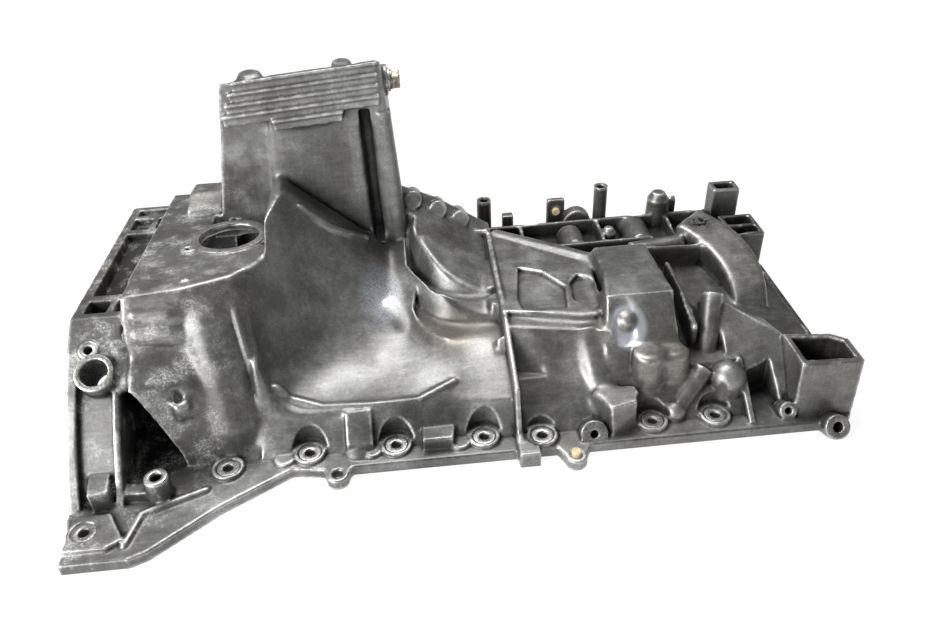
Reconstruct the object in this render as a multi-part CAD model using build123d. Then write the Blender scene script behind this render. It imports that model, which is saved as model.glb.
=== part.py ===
from build123d import *
import os
from math import cos, radians, sin, sqrt, tan

# Main sizes in millimetres. X runs along the crankshaft from the bell end to the front
# end, Y across the engine, and Z up from the gasket face, as the pan lies on that face.
half_length = 340.0
rail_half_width = 166.0
rail_thickness = 10.0
wall = 5.0
wall_foot_y = 150.0
draft_run = 14.0

# Bell flange, round the crankshaft axis
crank_drop = 100.0
bell_outer_radius = 220.0
bell_inner_radius = 192.0
bell_length = 44.0
bell_web = 6.0
bell_rim_width = 9.0
bell_panel_depth = 6.0
bell_crown_front_y = -70.0
bell_crown_back_y = 150.0
bell_crown_front_z = 118.0
bell_crown_back_z = 106.0
bell_back_foot_y = 226.0
foot_plate_half_width = 241.0
foot_plate_length = 58.0
flare_end_x = -159.0

# Deck that carries the level sensor
deck_left_x = 53.0 - half_length
deck_right_x = -200.0
deck_height = 148.0
deck_tilt = 4.9
deck_fall = tan(radians(deck_tilt))
deck_front_y = -90.0
deck_back_y = 128.0
sensor_x = -212.0
sensor_y = 9.0
sensor_bore_radius = 27.0
sensor_ring_radius = 35.0
sensor_ring_height = 2.5
sensor_screw_circle = 39.0
sensor_screw_radius = 2.6

# Sump tower
tower_left_x = -203.0
tower_right_x = -61.0
tower_front_y = 62.0
tower_back_y = 150.0
tower_edge_height = 270.0
tower_left_spread = 0.185
tower_side_draft = 0.05
recess_depth = 2.5
sump_slant = 30.0
sump_rise = 4.3
fin_count = 5
fin_height = 9.0
fin_step = 2.4

# Scoop in the front wall and the buttress above it
scoop_lip_y = -126.0
scoop_lip_z = 38.0
scoop_reach_z = 260.0
buttress_left_x = -175.0
buttress_right_x = -84.0
buttress_left_z = 176.0
buttress_right_z = 108.0
ridge_gap = 7.0
ridge_gap_depth = 15.0

# Recesses between the tower and the rib
upper_terrace_z = 70.0
lower_terrace_z = 60.0
terrace_lean = 0.7

# Transverse rib and shallow floor
rib_x = 29.0
rib_thickness = 5.0
rib_proud = 6.0
floor_height = 42.0
ledge_z = 75.0
ledge_height = 60.0
ledge_y = 129.0
second_ledge_y = 84.0
ledge_thickness = 5.0
socket_height = 79.0

# Bolt bosses along the rail
bolt_hole_radius = 4.5
boss_radius = 13.5
boss_height = 14.0
boss_clearance_radius = 15.5
spot_face_radius = 10.5
spot_face_depth = 1.5

bolt_y = rail_half_width - 19
front_bolts = [(-217, -bolt_y - 9), (-149, -bolt_y), (-75, -bolt_y), (1, -bolt_y), (51, -bolt_y - 5),
               (149, -bolt_y), (205, -bolt_y)]
back_bolts = [(-217, bolt_y + 9), (-149, bolt_y), (-75, bolt_y), (1, bolt_y), (86, bolt_y),
              (205, bolt_y), (275, bolt_y)]
end_bolts = [(half_length - 18, -40), (half_length - 18, 60)]
plate_bolts = [(-half_length + 19, -foot_plate_half_width + 29), (-half_length + 19, foot_plate_half_width - 29)]

# Ears on the front edge of the rail, and bosses that lean: x, y, z, radius, length, hole radius
lug_holes = [(-125, -172), (76, -176)]
lug_radius = 9.5
boss_lean = Vector(0, -0.85, 0.53).normalized()
tilted_bosses = [(95, -160, 15, 12.0, 18, 3.6), (half_length - 73, -156, 17, 8.0, 16, 3.2),
                 (half_length - 37, -176, 12, 11.0, 22, 4.8)]

# Bore for a timing sensor through the bell wall
timing_bore = (-313.0, -112.0, 86.0)
timing_axis = Vector(0, -0.55, 0.84).normalized()
timing_bore_radius = 11.5

# Slanted post beside the housing
slanted_post_top = (224.0, -58.0, 80.0)

# Box bracket at the front corner
box_left_x = half_length - 65
box_right_x = half_length - 11
box_front_y = -148.0
box_back_y = -102.0
box_height = 60.0
box_wall = 6.0

# Drain plug
plug_thread_radius = 7.0
plug_collar_radius = 9.0
plug_hex_across = 15.0
plug_hex_length = 9.0
washer_radius = 10.5
washer_thickness = 2.0
plug_y = tower_front_y + 22
plug_z = tower_edge_height - 20
plug_seat_x = tower_right_x + 3

# Pegs left in a lug hole and in the tab on the back rail
peg_radius = 4.3
peg_proud = 4.5
lug_hole_radius = peg_radius
tab_x = 117.0
tab_y = 150.0
tab_width = 20.0
tab_thickness = 7.0
tab_height = 78.0
tab_hole_z = 65.0
back_posts = [(36, 147, 85, 8), (167, 147, 91, 7.5)]


def prism_x(points, x_start, x_end):
    """Solid with an outline of (y, z) points between two X stations."""
    face = Plane.YZ.offset(x_start) * make_face(Polyline(*points, close=True))
    return extrude(face, amount=x_end - x_start)


def prism_z(points, z_low, z_high):
    """Solid with an outline of (x, y) points between two heights."""
    face = Plane.XY.offset(z_low) * make_face(Polyline(*points, close=True))
    return extrude(face, amount=z_high - z_low)


def prism_y(points, y_start, y_end):
    """Solid with an outline of (x, z) points between two Y stations."""
    face = Plane.XZ.offset(-y_end) * make_face(Polyline(*points, close=True))
    return extrude(face, amount=y_end - y_start)


def post(x, y, z_low, z_high, radius):
    return Pos(x, y, (z_low + z_high) / 2) * Cylinder(radius, z_high - z_low)


def tapered_post(x, y, z_low, z_high, radius_low, radius_high):
    return Pos(x, y, (z_low + z_high) / 2) * Cone(radius_low, radius_high, z_high - z_low)


def rod(start, end, radius):
    """Round bar between two points."""
    axis = Vector(*end) - Vector(*start)
    plane = Plane(origin=start, z_dir=axis.normalized())
    return extrude(plane * Circle(radius), amount=axis.length)


def wall_section(x, points, inset):
    """Closed section face at one X station, drawn in by the wall for the hollow."""
    foot = -3 * inset
    outline = [(y, z if z > 0 else foot) for y, z in points]
    face = make_face(Polyline(*outline, close=True))
    if inset:
        face = offset(face, -inset, kind=Kind.INTERSECTION).face()
    return Plane.YZ.offset(x) * face


def lofted(sections, inset):
    """Ruled body through (x, outline) stations, its ends drawn in with its walls."""
    last = len(sections) - 1
    faces = []
    for index, (x, points) in enumerate(sections):
        shift = inset if index == 0 else -inset if index == last else 0
        faces.append(wall_section(x + shift, points, inset))
    return loft(faces, ruled=True)


def sump_z(x, y):
    """Height of the tower's slanted bottom at a place in plan."""
    along = (x - (tower_left_x + tower_right_x) / 2) * tan(radians(sump_rise))
    return tower_edge_height + along - (y - tower_front_y) * tan(radians(sump_slant))


def deck_z(y):
    return deck_height - deck_fall * (y - deck_front_y)


def deck_body(inset=0):
    """Shoulder and deck beside the bell: a stepped front wall under a slightly falling top."""
    back = (deck_back_y, deck_z(deck_back_y))
    left = [
        (-wall_foot_y, 0), (-wall_foot_y + draft_run, 86), (deck_front_y - 20, 102),
        (deck_front_y, deck_z(deck_front_y)), back, (wall_foot_y, 0),
    ]
    middle = [
        (-wall_foot_y, 0), (-wall_foot_y + 24, 80), (deck_front_y - 14, 100),
        (deck_front_y + 6, deck_z(deck_front_y)), back, (wall_foot_y, 0),
    ]
    right = [
        (-wall_foot_y, 0), (-wall_foot_y + 36, 62), (deck_front_y - 4, 96),
        (deck_front_y + 20, deck_z(deck_front_y)), back, (wall_foot_y, 0),
    ]
    end = [
        (-wall_foot_y, 0), (-wall_foot_y + 40, 52), (deck_front_y - 2, 90),
        (deck_front_y + 34, deck_z(deck_front_y)), back, (wall_foot_y, 0),
    ]
    stations = [(deck_left_x, left), (-240, middle), (deck_right_x, right), (-150, end)]
    return lofted(stations, inset)


def ramp_body(inset=0):
    """Body under the tower, whose back part falls steeply from the tower to the rib."""
    under = [
        (-wall_foot_y, 0), (-wall_foot_y, 8), (scoop_lip_y, scoop_lip_z), (-108, 84), (-60, 98),
        (60, 102), (84, 112), (deck_back_y, 110), (wall_foot_y, 0),
    ]
    beside = [
        (-wall_foot_y, 0), (-wall_foot_y, 8), (scoop_lip_y, scoop_lip_z), (-104, 64), (-40, 98),
        (56, 116), (84, 146), (deck_back_y, 120), (wall_foot_y, 0),
    ]
    falling = [
        (-wall_foot_y, 0), (-wall_foot_y, 8), (scoop_lip_y, scoop_lip_z - 2), (-98, 48), (-24, 82),
        (38, 94), (86, 126), (deck_back_y, 102), (wall_foot_y, 0),
    ]
    at_rib = [
        (-wall_foot_y, 0), (-wall_foot_y + 6, 12), (-wall_foot_y + 16, 40), (-74, 62), (-20, 66),
        (40, 72), (86, 90), (deck_back_y - 6, 66), (wall_foot_y, 0),
    ]
    stations = [(-190, under), (-60, beside), (-20, falling), (rib_x + rib_thickness, at_rib)]
    return lofted(stations, inset)


def floor_body(inset=0):
    """Shallow floor in front of the rib."""
    deep = [
        (-wall_foot_y, 0), (-wall_foot_y + 3, 11), (-wall_foot_y + 18, 26), (-wall_foot_y + 40, floor_height),
        (wall_foot_y - 18, floor_height), (wall_foot_y - 8, floor_height - 8), (wall_foot_y, 0),
    ]
    low = [(y, z * 0.72) for y, z in deep]
    stations = [(10, deep), (250, deep), (half_length - 20, low)]
    return lofted(stations, inset)


def tower_body(inset=0):
    """Sump tower with its slanted bottom, level in the car with the engine leaning over."""
    low = 40.0
    high = 320.0

    def ring(z):
        rise = tower_edge_height - z
        left = tower_left_x - tower_left_spread * rise + inset
        right = tower_right_x + tower_side_draft * rise - inset
        front = tower_front_y - tower_side_draft * rise * 0.4 + inset
        back = tower_back_y + tower_side_draft * rise - inset
        return Plane.XY.offset(z) * make_face(
            Polyline((left, front), (right, front), (right, back), (left, back), close=True)
        )

    body = loft([ring(low), ring(high)], ruled=True)
    normal = Vector(-tan(radians(sump_rise)), tan(radians(sump_slant)), 1).normalized()
    edge = Vector((tower_left_x + tower_right_x) / 2, tower_front_y, tower_edge_height)
    cut = Plane(origin=edge - normal * inset, z_dir=normal)
    return split(body, bisect_by=cut, keep=Keep.BOTTOM)


def buttress_crest(inset=0):
    """Crest line of the buttress in (x, z): up to its apex, then down to the tower's foot."""
    return [
        (buttress_left_x + inset, buttress_left_z - 9 - inset),
        (buttress_left_x + 10, buttress_left_z - 2 - inset),
        (buttress_left_x + 17, buttress_left_z - 4 - inset),
        (buttress_right_x - inset, buttress_right_z - 2 - inset),
    ]


def buttress_body(inset=0):
    """Block in front of the tower whose crest falls from the shoulder to the tower's foot."""
    crest = buttress_crest(inset)
    outline = [(crest[0][0], 60)] + crest + [(crest[-1][0], 60)]
    return prism_y(outline, -70 + inset, tower_front_y + 6)


def ridge_hollow(extra=0):
    """Narrow groove between the buttress's crest and the tower's face, a little below the crest."""
    crest = buttress_crest()[2:]
    floor = [(x, z - ridge_gap_depth - extra) for x, z in crest]
    outline = [(floor[0][0] - extra, floor[0][1])] + floor[1:] + [(floor[-1][0], 200), (floor[0][0] - extra, 200)]
    return prism_y(outline, tower_front_y - ridge_gap - extra, tower_front_y + 6)


def scoop_profiles():
    """Front wall of the scoop as (y, z) curves at X stations from the shoulder to its lip's end."""
    lip = [(-190, scoop_lip_z), (scoop_lip_y, scoop_lip_z)]
    left_lip = [(-190, scoop_lip_z + 8), (scoop_lip_y, scoop_lip_z + 10)]
    return [
        (-212, [(-190, 128), (-128, 132), (-86, 146), (-40, 172), (10, 194), (64, 218)]),
        (-188, [(-190, 84), (-120, 88), (-92, 100), (-62, 142), (0, 178), (64, 208)]),
        (-174, left_lip + [(-84, 68), (-57, 118), (-20, 160), (64, 198)]),
        (-150, lip + [(-86, 48), (-46, 82), (2, 142), (64, 178)]),
        (-118, lip + [(-82, 42), (-34, 68), (16, 122), (64, 162)]),
        (-84, lip + [(-76, 42), (-26, 62), (22, 92), (64, 112)]),
        (-50, [(-190, 36), (scoop_lip_y, 39), (-84, 46), (-30, 62), (12, 84), (64, 106)]),
        (-14, [(-190, 50), (scoop_lip_y, 52), (-84, 66), (-30, 94), (12, 116), (64, 132)]),
    ]


def moved_curve(points, distance):
    """The curve's points moved down and back, square to the curve."""
    moved = []
    for index, (y, z) in enumerate(points):
        before = points[max(index - 1, 0)]
        after = points[min(index + 1, len(points) - 1)]
        run, rise = after[0] - before[0], after[1] - before[1]
        length = sqrt(run**2 + rise**2)
        moved.append((y + distance * rise / length, z - distance * run / length))
    return moved


def scoop(extra=0):
    """Sweeping hollow in the front wall, lofted through its profiles and open above."""
    profiles = scoop_profiles()
    last = len(profiles) - 1
    faces = []
    for index, (x, points) in enumerate(profiles):
        curve = moved_curve(points, extra)
        start, end = curve[0], curve[-1]
        shift = -extra if index == 0 else extra if index == last else 0
        edges = [Spline(*curve), Polyline(end, (end[0], scoop_reach_z), (start[0], scoop_reach_z), start)]
        faces.append(Plane.YZ.offset(x + shift) * make_face(edges))
    return loft(faces)


def terrace(near, far, floor, rise, extra=0):
    """Dished recess: a curved floor whose far wall leans back as it rises."""
    near = [(x - extra, y - extra) for x, y in near]
    faces = []
    for z, lean in ((floor - extra, 0), (floor + rise, rise * terrace_lean)):
        back = [(x + extra, y + lean + extra) for x, y in far]
        edges = [Spline(*near), Line(near[-1], back[-1]), Spline(*reversed(back)), Line(back[0], near[0])]
        faces.append(Plane.XY.offset(z) * make_face(edges))
    return loft(faces, ruled=True)


def terraces(extra=0):
    """Two dished recesses that step down from the tower's foot to the rib."""
    upper_near = [(-53, 22), (-45, 8), (-37, -6), (-28, -20), (-12, -25), (33, -21)]
    upper_far = [(-53, 40), (-44, 25), (-36, 12), (-24, -2), (-6, -12), (33, -12)]
    lower_near = [(-50, -20), (-42, -44), (-28, -62), (-8, -74), (33, -79)]
    lower_far = [(-46, -12), (-36, -28), (-22, -40), (-4, -46), (33, -51)]
    return [terrace(upper_near, upper_far, upper_terrace_z, 50, extra),
            terrace(lower_near, lower_far, lower_terrace_z, 40, extra)]


def terrace_grooves():
    """Shallow curved groove in the slope above the upper recess."""
    line = [(-50, 60, 120), (-38, 24, 103), (-24, 4, 92), (-10, -4, 85)]
    return [rod(start, end, 3.5) for start, end in zip(line, line[1:])]


def shoulder_pocket(extra=0):
    """Deep pocket between the bell wall and the foot of the shoulder."""
    left = bell_length - half_length
    low = -20 if extra else rail_thickness
    outline = [
        (left, low), (left + 44 + extra, low), (left + 44 + extra, rail_thickness),
        (left + 12 + extra, 84 + extra), (left, 84 + extra),
    ]
    if not extra:
        del outline[2]
    return prism_y(outline, -wall_foot_y - 20, deck_front_y + 4 + extra)


def box_plan(extra=0):
    """Plan of the box bracket, grown by its clearance from the hollow."""
    left = box_left_x - 4 - extra
    back = box_back_y + 2 + extra
    return [(left, -wall_foot_y - 20), (half_length, -wall_foot_y - 20), (half_length, back), (left, back)]


def tower_groove(extra=0):
    """Deep groove between the tower's front panel and its right column."""
    centre = tower_right_x - 19
    half_width = 5 + extra
    face = Plane.XY.offset(tower_edge_height - 38 + extra) * (Pos(centre, tower_front_y + 2) * Rectangle(
        2 * half_width, 20 + 2 * extra))
    foot = Plane.XY.offset(84) * (Pos(centre + 2, tower_front_y + 2) * Rectangle(
        2 * half_width, 20 + 2 * extra))
    return loft([foot, face], ruled=True)


def tower_left_recess(extra=0):
    """Shallow recess beside the front panel."""
    top = tower_edge_height - 40 + extra
    right = tower_left_x + 36 + extra
    outline = [(-240, 110), (-220, top - 40), (-214, top), (right, top), (right - 10, 110)]
    return prism_y(outline, tower_front_y - 20, tower_front_y + recess_depth + extra)


def tower_column():
    """Rounded column down the right corner of the tower's front."""
    x = tower_right_x - 4
    top = (x, tower_front_y + 6, tower_edge_height - 42)
    return rod((x + 8, tower_front_y + 2, 74), top, 9)


def housing_body(inset=0):
    """Faceted transverse housing in the middle of the shallow floor."""
    outline = [
        (30, 20), (30, 84), (18, 92), (-72, 96), (-104, 62), (-122, 34), (-126, 20),
    ]
    plan = [(128, 20), (136, 30), (182, 30), (182, -126), (112, -126), (117, -90), (128, -30)]
    face = make_face(Polyline(*outline, close=True))
    block = make_face(Polyline(*plan, close=True))
    if inset:
        face = offset(face, -inset, kind=Kind.INTERSECTION).face()
        block = offset(block, -inset, kind=Kind.INTERSECTION).face()
    solid = extrude(Plane.YZ.offset(100) * face, amount=100)
    return solid & extrude(block, amount=120)


def housing_window():
    """Slot with a domed knob in the housing's slanted face."""
    normal = Vector(0, -34, 32).normalized()
    face = Plane(origin=(134, -87, 78), x_dir=(1, 0, 0), z_dir=normal)
    slot = extrude(face * SlotOverall(44, 19, rotation=90), amount=6)
    return Pos(normal * -1.5) * slot


def housing_knob():
    return Pos(137, -83, 75) * Sphere(10)


def middle_body(inset=0):
    """Block between the rib and the housing: a leaning front wall up to a ledge."""
    foot_plan = [(20, -wall_foot_y + 8), (130, -wall_foot_y + 4), (130, 60), (20, 60)]
    waist_plan = [(20, -100), (127, -117), (127, 50), (20, 60)]
    ledge_plan = [(20, -74), (122, -96), (122, 40), (20, 60)]
    faces = []
    for z, plan in ((8, foot_plan), (40, waist_plan), (ledge_z, ledge_plan)):
        face = make_face(Polyline(*plan, close=True))
        if inset:
            face = offset(face, -inset, kind=Kind.INTERSECTION).face()
        faces.append(Plane.XY.offset(z - inset) * face)
    return loft(faces, ruled=True)


def middle_top():
    """Upper block behind the ledge, with two pockets under the diagonal beam."""
    plan = [(30, -58), (101, -77), (122, -72), (126, 8), (46, 86), (30, 86)]
    block = prism_z(plan, 40, 80)
    block -= prism_z([(46, -40), (48, -58), (89, -60), (93, -27), (75, 2), (54, 12)], 60, 90)
    block -= prism_z([(97, -50), (112, -66), (120, -62), (122, -18), (108, -8), (99, -20)], 63, 90)
    return [block + Pos(109, -34, 62) * Sphere(13)]


def middle_ribs():
    """Half-round column and swelling on the leaning wall under the ledge."""
    column = rod((100, -80, ledge_z - 5), (110, -128, 14), 12.5)
    swelling = rod((58, -76, 54), (86, -142, -2), 13)
    return [column, swelling]


def rail_outline():
    """Plan of the gasket rail with the foot plates of the bell at its left end."""
    left = -half_length
    front = -rail_half_width
    plate = -foot_plate_half_width
    half = [
        (left, 0), (left, plate + 44), (left + 6, plate + 28), (left + 6, plate),
        (left + foot_plate_length, plate), (left + foot_plate_length + 14, plate + 6),
        (flare_end_x - 60, front - 30), (flare_end_x - 4, front + 4), (flare_end_x + 20, front),
        (box_right_x - 12, front), (box_right_x - 5, front + 10), (box_right_x - 5, front + 62),
        (half_length, front + 80),
    ]
    mirrored = [(x, -y) for x, y in reversed(half[1:])]
    return half + mirrored


def rail():
    plate = prism_z(rail_outline(), 0, rail_thickness)
    return plate + [lug(x, y) for x, y in lug_holes]


def lug(x, y):
    """Rounded ear on the front edge of the rail."""
    outline = [(x - 17, y + 16), (x - lug_radius, y), (x + lug_radius, y), (x + 17, y + 16)]
    return prism_z(outline, 0, rail_thickness) + post(x, y, 0, rail_thickness, lug_radius)


def bell_outline():
    """Outer edge of the bell flange in (y, z): a round front, a flat crown and a round back."""
    foot_y = -sqrt(bell_outer_radius**2 - crank_drop**2)
    turn = radians(123)
    on_arc = (bell_outer_radius * cos(turn), bell_outer_radius * sin(turn) - crank_drop)
    front = ThreePointArc((foot_y, 0), on_arc, (bell_crown_front_y, bell_crown_front_z))
    crown = Line((bell_crown_front_y, bell_crown_front_z), (bell_crown_back_y, bell_crown_back_z))
    back = ThreePointArc((bell_crown_back_y, bell_crown_back_z), (204, 64), (bell_back_foot_y, 0))
    base = Line((bell_back_foot_y, 0), (foot_y, 0))
    return make_face([front, crown, back, base])


def bell():
    """Half-round bell wall with its rim, recessed panel and the cells in the crown."""
    left = -half_length
    face = bell_outline()
    body = extrude(Plane.YZ.offset(left) * face, amount=bell_length)
    panel = offset(face, -bell_panel_depth, kind=Kind.INTERSECTION).face()
    band = extrude(Plane.YZ.offset(left + bell_rim_width) * face, amount=bell_length - bell_rim_width - 6)
    band -= extrude(Plane.YZ.offset(left + bell_rim_width) * panel, amount=bell_length)
    low = Pos(left + bell_length / 2, -150, 20) * Box(bell_length, 160, 150)
    crown = prism_x([(bell_crown_front_y, 60), (bell_crown_front_y, 112), (150, 98), (150, 60)], left + 4, -280)
    return body - (band & low) + crown


def crown_cells():
    """Pockets in the crown between the rim and the deck."""
    cells = []
    for y_low, y_high, x_low, x_high in (
        (-62, -42, -331, -312), (-62, -42, -306, -292), (-32, 88, -331, -292),
        (98, 122, -331, -312), (98, 122, -306, -292), (130, 144, -331, -292),
    ):
        cells.append(prism_z([(x_low, y_low), (x_high, y_low), (x_high, y_high), (x_low, y_high)], 100, 140))
    return cells


def bell_hollow():
    left = -half_length
    length = bell_length - bell_web
    drum = Pos(left + length / 2 - 1, 0, -crank_drop) * Rot(0, 90, 0) * Cylinder(bell_inner_radius, length + 2)
    return drum


def timing_boss():
    """Ring boss of the sensor bore through the bell wall, square to the wall."""
    base = Vector(*timing_bore) - timing_axis * 22
    ring = rod(tuple(base), tuple(base + timing_axis * 36), timing_bore_radius + 4.5)
    ear_base = base + Vector(-9, 22, 8)
    ear = rod(tuple(ear_base), tuple(ear_base + timing_axis * 34), 8.5)
    return ring + ear


def timing_holes():
    base = Vector(*timing_bore) - timing_axis * 60
    bore = rod(tuple(base), tuple(base + timing_axis * 90), timing_bore_radius)
    ear_base = Vector(*timing_bore) - timing_axis * 22 + Vector(-9, 22, 8)
    tapped = rod(tuple(ear_base + timing_axis * 14), tuple(ear_base + timing_axis * 44), 3.6)
    return [bore, tapped]


def fins():
    """Stepped fins across the head of the tower's front face."""
    result = []
    for index in range(fin_count):
        drop = index * fin_height
        proud = fin_step * (index + 1)
        left = tower_left_x + 10 - index * 4 if index < 4 else tower_left_x + 42
        right = tower_right_x - 4 if index < 4 else tower_right_x - 38
        slope = tan(radians(sump_rise))
        middle = (tower_left_x + tower_right_x) / 2
        top_left = tower_edge_height + (left - middle) * slope - drop
        top_right = tower_edge_height + (right - middle) * slope - drop
        outline = [(left, top_left - fin_height - 1), (right, top_right - fin_height - 1),
                   (right, top_right - 1), (left, top_left - 1)]
        result.append(prism_y(outline, tower_front_y - proud, tower_front_y + 8))
    return result


def bottom_domes():
    """Two cast bumps on the slanted bottom."""
    domes = []
    for x, y, radius, proud in ((-178, 74, 11, 4), (-96, 76, 9, 4)):
        domes.append(post(x, y, tower_edge_height - 30, sump_z(x, y - radius) + proud, radius))
    return domes


def drain_seat():
    """Threaded boss for the drain plug on the side of the tower."""
    return Pos(plug_seat_x - 6, plug_y, plug_z) * Rot(0, 90, 0) * Cylinder(14, 16)


def transverse_rib():
    """Thin rib across the pan with its square foot and the gusset at its back end."""
    x = rib_x
    outline = [
        (-171, 0), (-171, 12), (-152, 18), (-138, 54), (-68, 72 + rib_proud),
        (74, 86 + rib_proud), (74, 60), (-60, 40), (-120, 20), (-120, 0),
    ]
    rib = prism_x(outline, x, x + rib_thickness)
    foot = prism_z([(x - 1, -176), (x + 17, -176), (x + 17, -150), (x - 1, -150)], 0, 15)
    gusset = prism_y([(-4, 93), (x + 2, 93), (x + 2, 60), (x - 20, 60)], 66, 72)
    return [rib, foot, gusset]


def beam():
    """Rounded diagonal beam from the rib's back end to the housing."""
    return rod((38, 84, 70), (140, 10, 72), 12)


def back_ledges():
    """Two long ribs that run along the back of the shallow floor."""
    outer = prism_y([(30, 20), (30, ledge_height - 2), (290, ledge_height), (300, 20)],
                    ledge_y, ledge_y + ledge_thickness)
    inner = prism_y([(60, 20), (60, ledge_height - 4), (215, ledge_height - 2), (215, 20)],
                    second_ledge_y, second_ledge_y + ledge_thickness)
    ties = []
    for x in (72, 158, 236):
        ties.append(prism_x([(second_ledge_y, 20), (second_ledge_y, 56), (ledge_y + 2, 58), (ledge_y + 2, 20)],
                            x, x + 4))
    return [outer, inner] + ties


def half_drum(x, y, z, radius, length):
    """Half-round bulge that lies across the pan."""
    return Pos(x, y, z) * Rot(90, 0, 0) * Cylinder(radius, length)


def tall_posts():
    """Two tall round posts on the back rail, each with a hole down from its top."""
    posts = []
    for x, y, height, radius in back_posts:
        posts.append(post(x, y, 0, height, radius) - post(x, y, height - 40, height + 1, radius - 3))
    return posts


def back_features():
    """Bosses and sockets along the back rail."""
    items = [
        prism_x([(140, 0), (140, 66), (150, 66), (152, 0)], 56, 68),
        prism_x([(tab_y - tab_thickness / 2, 0), (tab_y - tab_thickness / 2, tab_height),
                 (tab_y + tab_thickness / 2, tab_height), (tab_y + tab_thickness / 2 + 3, 0)],
                tab_x - tab_width / 2, tab_x + tab_width / 2),
        half_drum(140, 146, 50, 16, 14),
        tapered_post(231, 140, 0, 74, 17, 12), tapered_post(231, 140, 74, 82, 12, 7),
        prism_x([(140, 0), (140, 70), (146, 74), (152, 0)], 245, 252),
        post(168, 106, 20, 56, 8), tapered_post(168, 106, 56, 62, 8, 4),
        half_drum(128, 108, 44, 14, 34), half_drum(200, 108, 44, 16, 40),
    ]
    return items


def socket():
    """Upright rectangular socket near the front end of the back rail."""
    x = half_length - 31
    return prism_z([(x - 15, 138), (x + 15, 138), (x + 15, 160), (x - 15, 160)], 0, socket_height)


def socket_hollow():
    x = half_length - 31
    return prism_z([(x - 10, 143), (x + 10, 143), (x + 10, 155), (x - 10, 155)], 30, socket_height + 6)


def corner_frame():
    """Slotted frame at the back corner of the front end."""
    left = half_length - 40
    return prism_z([(left, 88), (left + 38, 88), (left + 38, 132), (left, 132)], 0, 50)


def corner_frame_hollow():
    left = half_length - 35
    slots = []
    for y_low, y_high in ((93, 106), (111, 127)):
        slots.append(prism_z([(left, y_low), (left + 28, y_low), (left + 28, y_high), (left, y_high)], 30, 60))
    return slots


def crescent():
    """Raised curved wall with a falling crest and a pointed tip."""
    outer = ThreePointArc((268, 112), (298, 48), (296, -30))
    inner = ThreePointArc((234, 84), (256, 36), (264, -26))
    face = make_face([outer, Line((296, -30), (264, -26)), inner, Line((234, 84), (268, 112))])
    band = extrude(face, amount=90)
    top = Spline((-40, 28), (-10, 52), (40, 67), (80, 72), (120, 72))
    side = make_face([top, Polyline((120, 72), (120, 0), (-40, 0), (-40, 28))])
    return band & extrude(Plane.YZ.offset(220) * side, amount=90)


def front_features():
    """Ribs, posts and bulges of the shallow end."""
    bridge = prism_y([(178, 30), (178, 68), (262, 66), (262, 30)], 48, 54)
    tube = rod((182, 66, 52), (240, 72, 54), 11)
    double = [tapered_post(151, -114, 0, 64, 18, 13.5), tapered_post(175, -111, 0, 62, 18, 12.5)]
    join = prism_z([(151, -126), (175, -122), (175, -100), (151, -102)], 0, 58)
    ball = Pos(171, -139, 13) * Sphere(11)
    link = rod((171, -139, 11), (202, -116, 40), 9)
    drum = [post(222, -122, 0, 31, 16.5), Pos(222, -122, 31) * Sphere(16.5)]
    slanted = rod((204, -116, 4), slanted_post_top, 10)
    facet = loft([
        make_face(Polyline((92, -130), (110, -114), (143, -124), (148, -148), (112, -161), close=True)),
        Plane.XY.offset(38) * make_face(Polyline(
            (98, -130), (112, -121), (136, -129), (140, -146), (110, -154), close=True)),
    ], ruled=True)
    partition = prism_z([(204, 24), (210, 24), (209, -30), (202, -90), (196, -90), (203, -30)], 30, 67)
    return [bridge, tube, join, ball, link, slanted, facet, partition] + double + drum


def web_body():
    """Sloping web between the slanted post and the box bracket."""
    near = [(-122, 0), (-118, 30), (-62, 78), (-30, 60), (-10, 30), (-10, 0)]
    far = [(-146, 0), (-140, 20), (-102, 58), (-60, 46), (-40, 28), (-40, 0)]
    faces = [Plane.YZ.offset(x) * make_face(Polyline(*points, close=True)) for x, points in ((226, near), (278, far))]
    fin = prism_x([(-162, 0), (-160, 12), (-112, 46), (-100, 40), (-100, 0)], 232, 237)
    return [loft(faces, ruled=True), fin]


def web_pocket(extra=0):
    """Dark pocket in front of the web, between its fin and the box bracket."""
    left = box_left_x - 35
    low = -20 if extra else rail_thickness
    return prism_z([(left - extra, -170), (left + 28 + extra, -170), (left + 22 + extra, -112 + extra),
                    (left - extra, -118 + extra)], low, 100)


def box_bracket():
    """Open box at the front corner, its front wall leaning out to the rail."""
    top = Plane.XY.offset(box_height) * make_face(Polyline(
        (box_left_x, box_front_y + 2), (box_right_x, box_front_y), (box_right_x, box_back_y - 14),
        (box_right_x - 12, box_back_y - 5), (box_left_x, box_back_y), close=True))
    foot = make_face(Polyline(
        (box_left_x - 4, box_front_y - 10), (box_right_x - 6, box_front_y - 12), (box_right_x - 6, box_back_y - 12),
        (box_right_x - 12, box_back_y - 3), (box_left_x - 4, box_back_y + 2), close=True))
    return loft([foot, top], ruled=True)


def box_hollow():
    inner = [
        (box_left_x + box_wall, box_front_y + box_wall + 2), (box_right_x - box_wall, box_front_y + box_wall),
        (box_right_x - box_wall, box_back_y - 17), (box_right_x - 15, box_back_y - box_wall - 4),
        (box_left_x + box_wall, box_back_y - box_wall),
    ]
    hollow = prism_z(inner, 20, box_height + 10)
    return hollow - post(box_left_x + 27, -124, 0, 27, 9)


def tilted_boss(x, y, z, radius, length):
    """Round boss whose face leans up from the rail's front edge."""
    start = Vector(x, y, z) - boss_lean * length
    return rod(tuple(start), (x, y, z), radius)


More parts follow.
